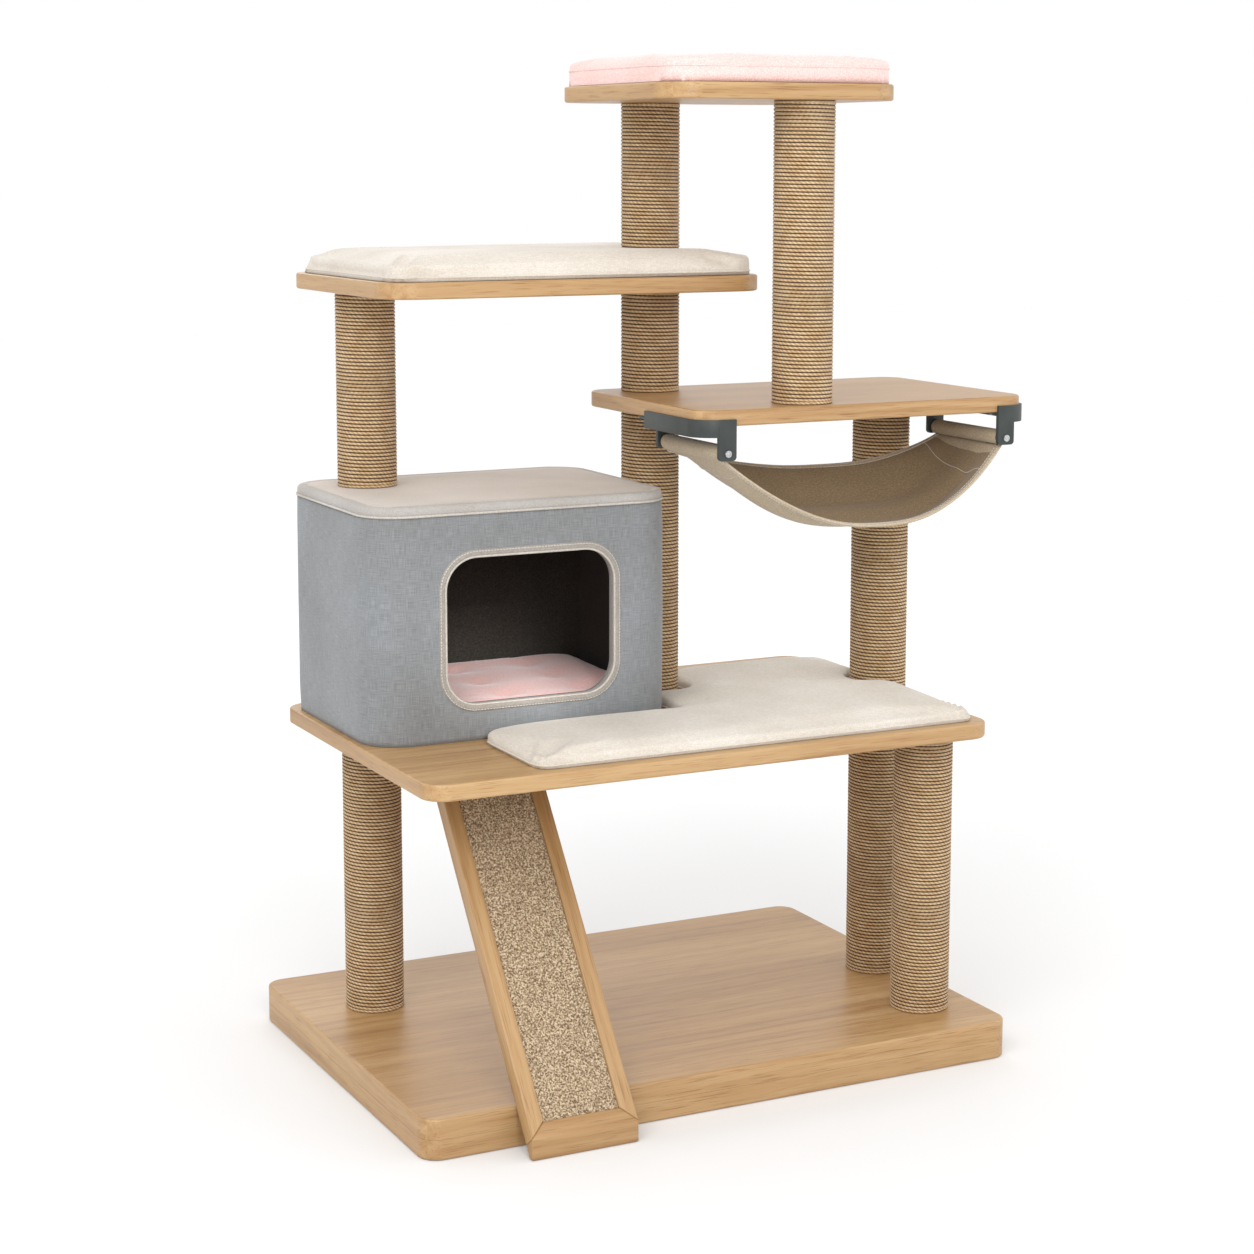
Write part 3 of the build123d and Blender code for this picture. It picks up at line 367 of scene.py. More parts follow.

# %% [markdown]
# ## Mesh helpers
# Three tools do most of the work below. One joins rings of points into a closed skin and gives it a UV map
# in metres. One copies a frame node into a clean mesh. One puts a finished mesh in the scene on the body it
# rides on, and hides the frame nodes it stands for.


# %% Rings into a skin
def skin(name, rings, cap_ends=True, meet=False):
    """Joins equal rings of points with quads. The ends are capped, or the last ring meets the first."""
    mesh, bm = bpy.data.meshes.new(name), bmesh.new()
    uv = bm.loops.layers.uv.new("metres")
    rows = [[bm.verts.new(point) for point in ring] for ring in rings]
    count = len(rings[0])
    around, up = [0.0], [0.0]
    for i in range(count):
        around.append(around[-1] + (Vector(rings[0][(i + 1) % count]) - Vector(rings[0][i])).length)
    for low, high in zip(rings, rings[1:] + rings[:1]):
        up.append(up[-1] + (Vector(high[0]) - Vector(low[0])).length)
    for j in range(len(rows) if meet else len(rows) - 1):
        upper = rows[(j + 1) % len(rows)]
        for i in range(count):
            corner = (i + 1) % count
            face = bm.faces.new((rows[j][i], rows[j][corner], upper[corner], upper[i]))
            for loop, (u, v) in zip(face.loops, ((i, j), (i + 1, j), (i + 1, j + 1), (i, j + 1))):
                loop[uv].uv = (around[u], up[v])
    if cap_ends and not meet:
        bm.faces.new(list(reversed(rows[0])))
        bm.faces.new(rows[-1])
    bmesh.ops.recalc_face_normals(bm, faces=bm.faces)
    bm.to_mesh(mesh)
    bm.free()
    return mesh


def rounded_outline(x, y, radius, step=0.006):
    """Points and outward directions round a rounded rectangle, anticlockwise from its lower right corner."""
    places = []
    corners = ((x[1], y[0], -90, 1, -1), (x[1], y[1], 0, 1, 1),
               (x[0], y[1], 90, -1, 1), (x[0], y[0], 180, -1, -1))
    for index, (cx, cy, start, sx, sy) in enumerate(corners):
        centre = Vector((cx - sx * radius, cy - sy * radius, 0))
        arcs = max(4, round(radius * math.pi / 2 / step))
        for k in range(arcs + 1):
            angle = math.radians(start + 90 * k / arcs)
            out = Vector((math.cos(angle), math.sin(angle), 0))
            places.append((centre + out * radius, out))
        nx, ny, next_start, tx, ty = corners[(index + 1) % 4]
        out = Vector((math.cos(math.radians(next_start)), math.sin(math.radians(next_start)), 0))
        goal = Vector((nx - tx * radius, ny - ty * radius, 0)) + out * radius
        here = places[-1][0]
        runs = max(1, round((goal - here).length / step))
        places += [(here.lerp(goal, k / runs), out) for k in range(1, runs)]
    return places


# %% Copies of frame nodes, and placing a finished piece
def clean_copy(node):
    """A frame node's mesh with its loose triangles joined and its flat faces made whole."""
    mesh = frame["nodes"][node].data.copy()
    bm = bmesh.new()
    bm.from_mesh(mesh)
    bmesh.ops.remove_doubles(bm, verts=bm.verts, dist=0.00002)
    bmesh.ops.dissolve_limit(bm, angle_limit=math.radians(2), verts=bm.verts, edges=bm.edges)
    bm.to_mesh(mesh)
    bm.free()
    return mesh


def with_modifiers(mesh, *steps):
    """Runs modifiers on a mesh and gives back the plain result."""
    holder = bpy.data.objects.new("work", mesh)
    bpy.context.scene.collection.objects.link(holder)
    for kind, settings in steps:
        modifier = holder.modifiers.new(kind.lower(), kind)
        for name, value in settings.items():
            setattr(modifier, name, value)
    graph = bpy.context.evaluated_depsgraph_get()
    made = bpy.data.meshes.new_from_object(holder.evaluated_get(graph), depsgraph=graph,
                                           preserve_all_data_layers=True)
    bpy.data.objects.remove(holder)
    return made


def place_piece(name, mesh, materials, slot, body, *nodes, smooth=True):
    """Puts a finished mesh in the scene. It rides on a body and may stand for frame nodes."""
    mesh.name = name
    indices = [polygon.material_index for polygon in mesh.polygons]
    mesh.materials.clear()
    for material in materials:
        mesh.materials.append(material)
    if len(materials) > 1:
        mesh.polygons.foreach_set("material_index", indices)
    if smooth:
        mesh.shade_smooth()
    piece = bpy.data.objects.new(name, mesh)
    bpy.context.scene.collection.objects.link(piece)
    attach(piece, body)
    if nodes:
        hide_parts(*nodes)
    print(f"{name}: {len(mesh.polygons)} faces")
    return piece


# %% [markdown]
# ## Geometry Nodes helpers
# Rope turns, stitches and carpet loops repeat by the hundred, so each is one small node tree with named
# inputs. The tree runs once on a mesh, the result is kept as a plain mesh, and the modifier goes.


# %% Tree helpers
def new_tree(name, **inputs):
    """A Geometry Nodes tree with a named input for each size, and the group's input and output nodes."""
    tree = bpy.data.node_groups.new(name, "GeometryNodeTree")
    tree.interface.new_socket("Geometry", in_out="INPUT", socket_type="NodeSocketGeometry")
    for label, kind in inputs.items():
        tree.interface.new_socket(label, in_out="INPUT", socket_type="NodeSocket" + kind)
    tree.interface.new_socket("Geometry", in_out="OUTPUT", socket_type="NodeSocketGeometry")
    return tree, add_node(tree, "NodeGroupInput").outputs, add_node(tree, "NodeGroupOutput")


def finish_tree(tree, end, geometry, material):
    """Ends a tree: real geometry, smooth shading and a material."""
    real = add_node(tree, "GeometryNodeRealizeInstances", {0: geometry}).outputs[0]
    smooth = add_node(tree, "GeometryNodeSetShadeSmooth", {0: real}).outputs[0]
    painted = add_node(tree, "GeometryNodeSetMaterial", {0: smooth, 2: material}).outputs[0]
    feed(tree, end.inputs[0], painted)


def grow(tree, start, **values):
    """Runs a tree on a start mesh with its named inputs set, and gives back the plain mesh."""
    holder = bpy.data.objects.new("grown", start)
    bpy.context.scene.collection.objects.link(holder)
    modifier = holder.modifiers.new(tree.name, "NODES")
    modifier.node_group = tree
    for item in tree.interface.items_tree:
        if item.in_out == "INPUT" and item.name in values:
            modifier[item.identifier] = values[item.name]
    graph = bpy.context.evaluated_depsgraph_get()
    made = bpy.data.meshes.new_from_object(holder.evaluated_get(graph), depsgraph=graph,
                                           preserve_all_data_layers=True)
    bpy.data.objects.remove(holder)
    return made


def path_mesh(*paths):
    """A mesh of edges only: each path is a list of points and a flag, closed into a loop when the flag is set.
    """
    mesh = bpy.data.meshes.new("path")
    points, edges = [], []
    for path, closed in paths:
        first = len(points)
        points += [tuple(p) for p in path]
        edges += [(first + i, first + i + 1) for i in range(len(path) - 1)]
        if closed:
            edges.append((len(points) - 1, first))
    mesh.from_pydata(points, edges, [])
    return mesh


# %% [markdown]
# ## Rope windings
# Each post is wound with one length of 5 mm sisal, turn against turn. A spiral with one spare turn at each
# end is pressed flat against the boards, so the ends lie level as they do when they are stapled down. A
# little noise moves each turn, because no hand winds evenly.

# %% The rope tree
ROPE_DIAMETER, ROPE_PITCH, STEPS_PER_TURN, ROPE_SIDES = 0.0048, 0.0048, 44, 9
rope_tree, given, rope_end = new_tree("rope_winding", Centre="Vector", Height="Float", Turn_Radius="Float",
                                      Rope_Radius="Float", Turns="Float",
                                       Unevenness="Float", Material="Material")
length_of_spiral = add_node(rope_tree, MATH, {0: given["Height"], 1: 2 * ROPE_PITCH}, operation="ADD")
spiral = add_node(rope_tree, "GeometryNodeCurveSpiral", {
    "Resolution": STEPS_PER_TURN, "Rotations": given["Turns"], "Start Radius": given["Turn_Radius"],
    "End Radius": given["Turn_Radius"], "Height": length_of_spiral.outputs[0]}).outputs[0]
here = add_node(rope_tree, "GeometryNodeInputPosition").outputs[0]
here_parts = add_node(rope_tree, "ShaderNodeSeparateXYZ", {0: here})
shaken = add_node(rope_tree, "ShaderNodeTexNoise", {"Vector": here, "Scale": 30.0, "Detail": 1.0})
shake = add_node(rope_tree, MATH, {0: shaken, 1: 0.5}, operation="SUBTRACT").outputs[0]
shake = add_node(rope_tree, MATH, {0: shake, 1: given["Unevenness"]}, operation="MULTIPLY").outputs[0]
lowered = add_node(rope_tree, MATH, {0: here_parts.outputs["Z"], 1: ROPE_PITCH},
                   operation="SUBTRACT").outputs[0]
lowered = add_node(rope_tree, MATH, {0: lowered, 1: shake}, operation="ADD").outputs[0]
top_limit = add_node(rope_tree, MATH, {0: given["Height"], 1: given["Rope_Radius"]},
                     operation="SUBTRACT").outputs[0]
pressed = add_node(rope_tree, "ShaderNodeClamp", {"Value": lowered, "Min": given["Rope_Radius"],
                                                  "Max": top_limit}).outputs[0]
grown_out = add_node(rope_tree, MATH, {0: shake, 1: 9.0}, operation="MULTIPLY").outputs[0]
grown_out = add_node(rope_tree, MATH, {0: grown_out, 1: 1.0}, operation="ADD").outputs[0]
new_x = add_node(rope_tree, MATH, {0: here_parts.outputs["X"], 1: grown_out}, operation="MULTIPLY")
new_y = add_node(rope_tree, MATH, {0: here_parts.outputs["Y"], 1: grown_out}, operation="MULTIPLY")
new_place = add_node(rope_tree, "ShaderNodeCombineXYZ", {0: new_x.outputs[0], 1: new_y.outputs[0], 2: pressed})
moved = add_node(rope_tree, "GeometryNodeSetPosition", {"Geometry": spiral, "Position": new_place.outputs[0]})
run_kept = add_node(rope_tree, "GeometryNodeCaptureAttribute", {0: moved.outputs[0]})
run_kept.capture_items.new("FLOAT", "run")
rope_tree.links.new(add_node(rope_tree, "GeometryNodeSplineParameter").outputs["Length"], run_kept.inputs[1])
girth = add_node(rope_tree, "GeometryNodeCurvePrimitiveCircle", {"Resolution": ROPE_SIDES,
                                                                 "Radius": given["Rope_Radius"]})
girth_kept = add_node(rope_tree, "GeometryNodeCaptureAttribute", {0: girth.outputs[0]})
girth_kept.capture_items.new("FLOAT", "girth")
rope_tree.links.new(add_node(rope_tree, "GeometryNodeSplineParameter").outputs["Factor"], girth_kept.inputs[1])
rope = add_node(rope_tree, "GeometryNodeCurveToMesh", {0: run_kept.outputs[0], 1: girth_kept.outputs[0],
                                                       "Fill Caps": True}).outputs[0]
both = add_node(rope_tree, "ShaderNodeCombineXYZ", {0: run_kept.outputs[1], 1: girth_kept.outputs[1]})
kept = add_node(rope_tree, "GeometryNodeStoreNamedAttribute", {0: rope, "Name": "rope_run",
                                                              "Value": both.outputs[0]},
                data_type="FLOAT_VECTOR", domain="POINT")
stood = add_node(rope_tree, "GeometryNodeTransform", {0: kept.outputs[0], "Translation": given["Centre"]})
finish_tree(rope_tree, rope_end, stood.outputs[0], given["Material"])
rope_tree.update_tag()

# %% Wind the posts
for node in [name for name in frame["nodes"] if name.endswith("_rope")]:
    low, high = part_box(node)
    centre, height = (low + high) / 2, high[2] - low[2]
    outside = (high[0] - low[0]) / 2
    winding = grow(rope_tree, bpy.data.meshes.new("empty"), Centre=(centre[0], centre[1], low[2]),
                   Height=height,
                   Turn_Radius=outside - ROPE_DIAMETER / 2, Rope_Radius=ROPE_DIAMETER / 2,
                   Turns=round((height + 2 * ROPE_PITCH) / ROPE_PITCH), Unevenness=0.0005, Material=sisal)
    place_piece(node.replace("_rope", "_winding"), winding, [sisal], "sisal_rope", "root", node)

# %% [markdown]
# ## Stitches and piping
# A row of stitches and a piped edge both follow a seam. The stitch tree lays short threads end to end along
# any path, with a gap between them, and the piping tree runs a round cord along it.

# %% Stitch and piping trees
stitch_tree, given, stitch_end = new_tree("row_of_stitches", Spacing="Float", Thread="Float",
                                          Material="Material")
seam = add_node(stitch_tree, "GeometryNodeMeshToCurve", {0: given["Geometry"]}).outputs[0]
dots = add_node(stitch_tree, "GeometryNodeCurveToPoints", {0: seam, "Length": given["Spacing"]}, mode="LENGTH")
thread = add_node(stitch_tree, "GeometryNodeMeshCylinder", {"Vertices": 6, "Radius": given["Thread"],
                                                            "Depth": given["Spacing"]})
shorter = add_node(stitch_tree, "GeometryNodeTransform", {0: thread.outputs[0], "Scale": (1.0, 1.0, 0.68)})
laid = add_node(stitch_tree, "GeometryNodeInstanceOnPoints", {
    "Points": dots.outputs["Points"], "Instance": shorter.outputs[0], "Rotation": dots.outputs["Rotation"]})
finish_tree(stitch_tree, stitch_end, laid.outputs[0], given["Material"])

piping_tree, given, piping_end = new_tree("piped_edge", Radius="Float", Sides="Int", Material="Material")
edge = add_node(piping_tree, "GeometryNodeMeshToCurve", {0: given["Geometry"]}).outputs[0]
even = add_node(piping_tree, "GeometryNodeResampleCurve", {0: edge, "Length": 0.004}, mode="LENGTH").outputs[0]
round_cord = add_node(piping_tree, "GeometryNodeCurvePrimitiveCircle", {"Resolution": given["Sides"],
                                                                        "Radius": given["Radius"]})
piped = add_node(piping_tree, "GeometryNodeCurveToMesh", {0: even, 1: round_cord.outputs[0], "Fill Caps": True})
finish_tree(piping_tree, piping_end, piped.outputs[0], given["Material"])


def joined(name, meshes):
    """Several plain meshes as one, keeping each one's material."""
    holders = []
    for mesh in meshes:
        holder = bpy.data.objects.new("part", mesh)
        bpy.context.scene.collection.objects.link(holder)
        holders.append(holder)
    with bpy.context.temp_override(active_object=holders[0], selected_editable_objects=holders):
        bpy.ops.object.join()
    mesh = holders[0].data
    bpy.data.objects.remove(holders[0])
    mesh.name = name
    return mesh


# %% [markdown]
# ## Cushions
# A cushion is two panels of cloth sewn round a filling. The filling presses outwards evenly and the seams
# hold it in, which is just what a cloth simulation with inner pressure does. Each pad starts a little
# smaller than its finished size, its underside stays where it lies on the board, and the tufts are held
# down while the rest swells.


# %% The padding tool
def tuft_pull(x, y, tufts, reach):
    """How far down a tuft draws the cloth at a place, from 0 to 1."""
    pull = 0.0
    for tx, ty in tufts:
        away = math.hypot(x - tx, y - ty)
        pull = max(pull, math.exp(-(away / reach) ** 2))
    return pull


def padded_mesh(node, voxel, cap, shrink=0.003, tufts=(), tuft_depth=0.0, tuft_reach=0.012, pressure=4.0):
    """Remeshes a pad evenly, swells it by cloth simulation, and limits how far any point may move."""
    low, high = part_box(node)
    solid = clean_copy(node)
    mesh = with_modifiers(solid, ("REMESH", {"mode": "VOXEL", "voxel_size": voxel}),
                          ("SMOOTH", {"factor": 0.5, "iterations": 4}),
                          ("DISPLACE", {"strength": -shrink, "mid_level": 0.0}))
    held = []
    for vertex in mesh.vertices:
        under = vertex.co.z < low[2] + shrink + 0.003
        if under:
            vertex.co.z = low[2] + 0.0006
        on_top = not under and vertex.co.z >= high[2] - 0.012
        pull = tuft_pull(vertex.co.x, vertex.co.y, tufts, tuft_reach) if on_top else 0
        vertex.co.z -= tuft_depth * pull
        if under or pull > 0.8:
            held.append(vertex.index)
    start = [vertex.co.copy() for vertex in mesh.vertices]
    pad = bpy.data.objects.new("pad", mesh)
    bpy.context.scene.collection.objects.link(pad)
    pad.vertex_groups.new(name="held").add(held, 1.0, "REPLACE")
    cloth = pad.modifiers.new("cloth", "CLOTH")
    cloth.settings.quality = 5
    cloth.settings.mass = 0.3
    cloth.settings.tension_stiffness = cloth.settings.compression_stiffness = 12
    cloth.settings.bending_stiffness = 0.4
    cloth.settings.use_pressure = True
    cloth.settings.uniform_pressure_force = pressure
    cloth.settings.vertex_group_mass = "held"
    cloth.settings.effector_weights.gravity = 0
    cloth.point_cache.frame_start, cloth.point_cache.frame_end = 1, 20
    scene = bpy.context.scene
    for number in range(1, 21):
        scene.frame_set(number)
    graph = bpy.context.evaluated_depsgraph_get()
    swollen = [vertex.co.copy() for vertex in pad.evaluated_get(graph).data.vertices]
    scene.frame_set(1)
    bpy.data.objects.remove(pad)
    for vertex, before, after in zip(mesh.vertices, start, swollen):
        step = after - before
        if step.length > cap:
            step *= cap / step.length
        vertex.co = before + step
        vertex.co.z = max(vertex.co.z, low[2] + 0.0004)
    return mesh


def outline_at(mesh, height):
    """The closed outlines of a mesh at one height, as lists of points."""
    bm = bmesh.new()
    bm.from_mesh(mesh)
    cut = bmesh.ops.bisect_plane(bm, geom=bm.verts[:] + bm.edges[:] + bm.faces[:], plane_co=(0, 0, height),
                                 plane_no=(0, 0, 1))["geom_cut"]
    edges = {e for e in cut if isinstance(e, bmesh.types.BMEdge)}
    loops = []
    while edges:
        e = edges.pop()
        start, here = e.verts
        loop = [start.co.copy(), here.co.copy()]
        while here is not start:
            following = next((f for f in here.link_edges if f in edges), None)
            if following is None:
                break
            edges.discard(following)
            here = following.other_vert(here)
            if here is not start:
                loop.append(here.co.copy())
        if len(loop) > 20:
            loops.append(loop)
    bm.free()
    return loops


def finished_pad(name, node, body, slot, cloth_finish, fill, seam_height, **how):
    """A cushion with a piped seam round it at a height above its board."""
    low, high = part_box(node)
    mesh = padded_mesh(node, **how)
    for polygon in mesh.polygons:
        polygon.use_smooth = True
    seams = [(loop, True) for loop in outline_at(mesh, low[2] + seam_height)]
    piping = grow(piping_tree, path_mesh(*seams), Radius=0.0014, Sides=6, Material=cloth_finish)
    whole = joined(name, [mesh, piping])
    pad = place_piece(name, whole, [cloth_finish], slot, body, node)
    for polygon in whole.polygons:
        polygon.material_index = 0
    return pad


# %% The four cushions
low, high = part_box("top_cushion")
middle = (low + high) / 2
top_tufts = [(middle[0] + i * 0.096, middle[1] + j * 0.096) for i in (-1, 0, 1) for j in (-1, 0, 1)]
finished_pad("top_pad_cushion", "top_cushion", "top_pad", "blush_plush", blush_plush, 0.7, 0.020, voxel=0.005,
             cap=0.012, shrink=0.004, tufts=top_tufts, tuft_depth=0.014, tuft_reach=0.014, pressure=7.0)
low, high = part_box("cubby_cushion")
middle = (low + high) / 2
nest_tufts = [(middle[0] + i * 0.11, middle[1] + j * 0.085) for i in (-1, 0, 1) for j in (-1, 0, 1)]
# The cubby's cushion takes the pinker copy of the plush: painted light.
finished_pad("cubby_nest_cushion", "cubby_cushion", "root", "blush_plush", lit_nest_plush, 0.6, 0.017, voxel=0.006,
             cap=0.010, shrink=0.004, tufts=nest_tufts, tuft_depth=0.006, tuft_reach=0.022)
finished_pad("shelf_pad_cushion", "shelf_cushion", "root", "cream_fabric", cream_weave, 0.7, 0.005, voxel=0.006,
             cap=0.008, shrink=0.004)
finished_pad("platform_pad_cushion", "platform_cushion", "platform_pad", "cream_fabric", cream_weave,
             0.6, 0.004,
             voxel=0.006, cap=0.006, shrink=0.003)

# %% [markdown]
# ## The cubby's cloth
# The cubby is a board box in a fitted linen cover, with a felt lining. The wall cloth is a closed skin
# round the rounded rectangle: an outer face that puffs a millimetre over its thin wadding, and an inner
# face against the board. The doorway is cut out of it, and a padded binding with a thin piping covers the
# cut.

# %% Wall cloth and lining
DOOR_MARGIN = 0.004
cover_low, cover_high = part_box("cubby_cover")
trim_low, trim_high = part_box("doorway_trim")
door_x = (trim_low[0] + 0.011, trim_high[0] - 0.011)
door_z = (trim_low[2] + 0.011, trim_high[2] - 0.011)
CUBBY_CORNER, DOOR_CORNER = 0.054, 0.042


def door_outline(margin, step=0.004):
    """Points and outward directions round the doorway, in its upright plane."""
    flat = rounded_outline((door_x[0] - margin, door_x[1] + margin), (door_z[0] - margin, door_z[1] + margin),
                           DOOR_CORNER + margin, step)
    return [(Vector((p.x, 0, p.y)), Vector((n.x, 0, n.y))) for p, n in flat]


def cut_doorway(mesh, y):
    """Cuts the doorway's shape through a wall of cloth."""
    ring = [p for p, _ in door_outline(DOOR_MARGIN)]
    block = skin("doorway_block", [[(p.x, depth, p.z) for p in ring] for depth in y])
    cutter = bpy.data.objects.new("doorway_block", block)
    bpy.context.scene.collection.objects.link(cutter)
    made = with_modifiers(mesh, ("BOOLEAN", {"operation": "DIFFERENCE", "object": cutter, "solver": "EXACT"}))
    bpy.data.objects.remove(cutter)
    return made


def wall_cloth(name, x, y, z, corner, thickness, puff, seed):
    """A band of cloth round the box, with a slight uneven puff on the side that shows."""
    outline = rounded_outline(x, y, corner, 0.007)
    levels = [z[0] + (z[1] - z[0]) * k / 44 for k in range(45)]
    outer, inner = [], []
    for level in levels:
        rise = (level - z[0]) / (z[1] - z[0])
        swell = min(1.0, 8 * rise, 8 * (1 - rise))
        ring = []
        for p, out in outline:
            ripple = noise.noise(Vector((p.x * 9, p.y * 9, level * 9 + seed)))
            ring.append(p + out * (puff * swell * (1 + 0.6 * ripple)) + Vector((0, 0, level)))
        outer.append(ring)
        inner.append([p - out * thickness + Vector((0, 0, level)) for p, out in outline])
    return skin(name, outer + inner[::-1], meet=True)


cover = wall_cloth("linen", (cover_low[0], cover_high[0]), (cover_low[1], cover_high[1]),
                   (cover_low[2], cover_high[2]), CUBBY_CORNER, 0.0018, 0.0012, 3.0)
cover = cut_doorway(cover, (cover_low[1] - 0.02, cover_low[1] + 0.06))
place_piece("cubby_linen_cover", cover, [grey_linen], "cubby_linen", "root", "cubby_cover")
lining_low, lining_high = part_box("cubby_lining")
lining_corner = CUBBY_CORNER - (lining_low[0] - cover_low[0])
lining = wall_cloth("felt", (lining_low[0], lining_high[0]), (lining_low[1], lining_high[1]),
                    (lining_low[2], lining_high[2]), lining_corner, 0.0014, -0.0002, 8.0)
lining = cut_doorway(lining, (lining_low[1] - 0.02, lining_low[1] + 0.05))
place_piece("cubby_felt_lining", lining, [charcoal_felt], "lining_felt", "root", "cubby_lining")

# %% Roof cloth, with its pale rim and piped seam
roof_low, roof_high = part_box("cubby_roof_cover")
roof_x, roof_y = (cover_low[0], cover_high[0]), (cover_low[1], cover_high[1])
RIM_WIDTH, RIM_ROUND = 0.013, 0.006


def level_ring(inset, height):
    """The cubby's outline, moved inwards, at a height."""
    x, y = (roof_x[0] + inset, roof_x[1] - inset), (roof_y[0] + inset, roof_y[1] - inset)
    outline = rounded_outline(x, y, max(0.012, CUBBY_CORNER - inset), 0.007)
    return [p + Vector((0, 0, height)) for p, _ in outline]


def same_count(rings):
    """Rings spaced again so that each has as many points as the first."""
    count, even = len(rings[0]), []
    for ring in rings:
        closed = ring + ring[:1]
        lengths = [0.0]
        for a, b in zip(closed, closed[1:]):
            lengths.append(lengths[-1] + (b - a).length)
        spaced, k = [], 0
        for i in range(count):
            goal = lengths[-1] * i / count
            while lengths[k + 1] < goal:
                k += 1
            part = (goal - lengths[k]) / max(1e-9, lengths[k + 1] - lengths[k])
            spaced.append(closed[k].lerp(closed[k + 1], part))
        even.append(spaced)
    return even


top, bottom = roof_high[2], cover_high[2]
profile = [(0.0012, bottom), (0.0, bottom + 0.001), (0.0, top - RIM_ROUND)]
profile += [(RIM_ROUND * (1 - math.cos(a)), top - RIM_ROUND * (1 - math.sin(a)))
            for a in (math.radians(15 * k) for k in range(1, 7))]
profile += [(RIM_WIDTH - 0.001, top), (RIM_WIDTH, top - 0.0009), (RIM_WIDTH + 0.001, top)]
profile += [(inset, top) for inset in (0.03, 0.06, 0.09, 0.12, 0.14)]
roof = skin("roof", same_count([level_ring(inset, height) for inset, height in profile]))
for polygon in roof.polygons:
    polygon.material_index = 1 if max(roof.vertices[v].co.z for v in polygon.vertices) < top - 0.0002 or \
        min(abs(polygon.center.x - roof_x[0]), abs(polygon.center.x - roof_x[1]),
            abs(polygon.center.y - roof_y[0]), abs(polygon.center.y - roof_y[1])) < RIM_WIDTH * 0.9 else 0
place_piece("cubby_roof_cloth", roof, [roof_twill, rim_linen], "roof_fabric", "root", "cubby_roof_cover")
seam_ring = [p + out * 0.0004 + Vector((0, 0, bottom + 0.0012))
             for p, out in rounded_outline(roof_x, roof_y, CUBBY_CORNER, 0.006)]
piping = grow(piping_tree, path_mesh((seam_ring, True)), Radius=0.0016, Sides=8, Material=piping_cloth)
place_piece("cubby_roof_piping", piping, [piping_cloth], "roof_fabric", "root")

corner_line = [Vector((cover_high[0] + 0.0006, cover_low[1] + CUBBY_CORNER, cover_low[2] + 0.004
                       + (bottom - cover_low[2] - 0.006) * k / 20)) for k in range(21)]
side_piping = grow(piping_tree, path_mesh((corner_line, False)), Radius=0.0015, Sides=8, Material=piping_cloth)
place_piece("cubby_side_piping", side_piping, [piping_cloth], "cubby_linen", "root")

# %% Doorway binding
TRIM_WIDTH, TRIM_RISE = 0.010, 0.0034
face_y = cover_low[1]
bead = [(0.0, 0.012), (-0.0002, 0.002), (0.0, -0.0012)]
bead += [(TRIM_WIDTH * k / 10, -0.0012 - (TRIM_RISE - 0.0012) * math.sin(math.pi * k / 10) ** 0.6)
         for k in range(1, 10)]
bead += [(TRIM_WIDTH, -0.0012), (TRIM_WIDTH, 0.0), (0.004, 0.0), (0.0032, 0.012)]
binding_rings = [[p + out * side + Vector((0, face_y + depth, 0)) for side, depth in bead]
                 for p, out in door_outline(0.0)]
binding = skin("binding", binding_rings, meet=True)
place_piece("doorway_binding", binding, [trim_binding], "trim_fabric", "root", "doorway_trim")
inner_path = [p + out * 0.0008 + Vector((0, face_y - 0.0022, 0)) for p, out in door_outline(0.0)]
inner_piping = grow(piping_tree, path_mesh((inner_path, True)), Radius=0.0015, Sides=8, Material=piping_cloth)
place_piece("doorway_piping", inner_piping, [piping_cloth], "trim_fabric", "root")
stitch_place = Vector((0, face_y - 0.0030, 0))
stitch_path = [p + out * (TRIM_WIDTH - 0.0022) + stitch_place for p, out in door_outline(0.0)]
stitching = grow(stitch_tree, path_mesh((stitch_path, True)), Spacing=0.0042, Thread=0.00045,
                 Material=thread_pale)
place_piece("doorway_stitches", stitching, [thread_pale], "trim_fabric", "root")

# %% [markdown]
# ## The hammock
# One length of canvas is sewn into a sleeve round each bar and hangs between them. Its front edge is cut
# longer, so it drops deeper there than at the back. The cloth is one sheet with a real thickness, and a
# folded hem with two rows of stitches strengthens the edges.

# %% Hanging cloth
BAR_CENTRE_Z = (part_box("left_bar")[0][2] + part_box("left_bar")[1][2]) / 2
left_x = (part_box("left_bar")[0][0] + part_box("left_bar")[1][0]) / 2
right_x = (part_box("right_bar")[0][0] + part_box("right_bar")[1][0]) / 2
cloth_low, cloth_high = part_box("hammock_cloth")
SLEEVE_RADIUS, CLOTH_THICK = 0.0099, 0.0016
SECTIONS = ((0.0, 0.107, 2.3), (0.3, 0.112, 3.1), (0.6, 0.095, 3.1), (1.0, 0.045, 2.3))
ACROSS, DEEP, SLEEVE_STEPS = 96, 36, 14
SKEW = -0.07


def hang(t, back):
    """Where the cloth hangs: t runs from the left bar to the right one, back from the front hem to the back."""
    back_held = min(max(back, 0.0), 1.0)
    index = max(i for i in range(len(SECTIONS) - 1) if SECTIONS[i][0] <= back_held)
    near, far = SECTIONS[index], SECTIONS[index + 1]
    part = (back_held - near[0]) / (far[0] - near[0])
    ease = part * part * (3 - 2 * part)
    drop, fullness = (near[i] + (far[i] - near[i]) * ease for i in (1, 2))
    curve = 1 - abs(2 * (t + SKEW * math.sin(math.pi * t)) - 1) ** fullness
    x = left_x + (right_x - left_x) * t
    y = cloth_low[1] + (cloth_high[1] - cloth_low[1]) * back
    z = BAR_CENTRE_Z - SLEEVE_RADIUS - (drop - SLEEVE_RADIUS) * curve
    gather = math.exp(-min(t, 1 - t) * 9)
    z += 0.0022 * gather * math.sin(back * 24 + 5 * t) * min(1, 12 * min(t, 1 - t))
    z += 0.0016 * noise.noise(Vector((x * 9, y * 14, 2.0)))
    return Vector((x, y, z))


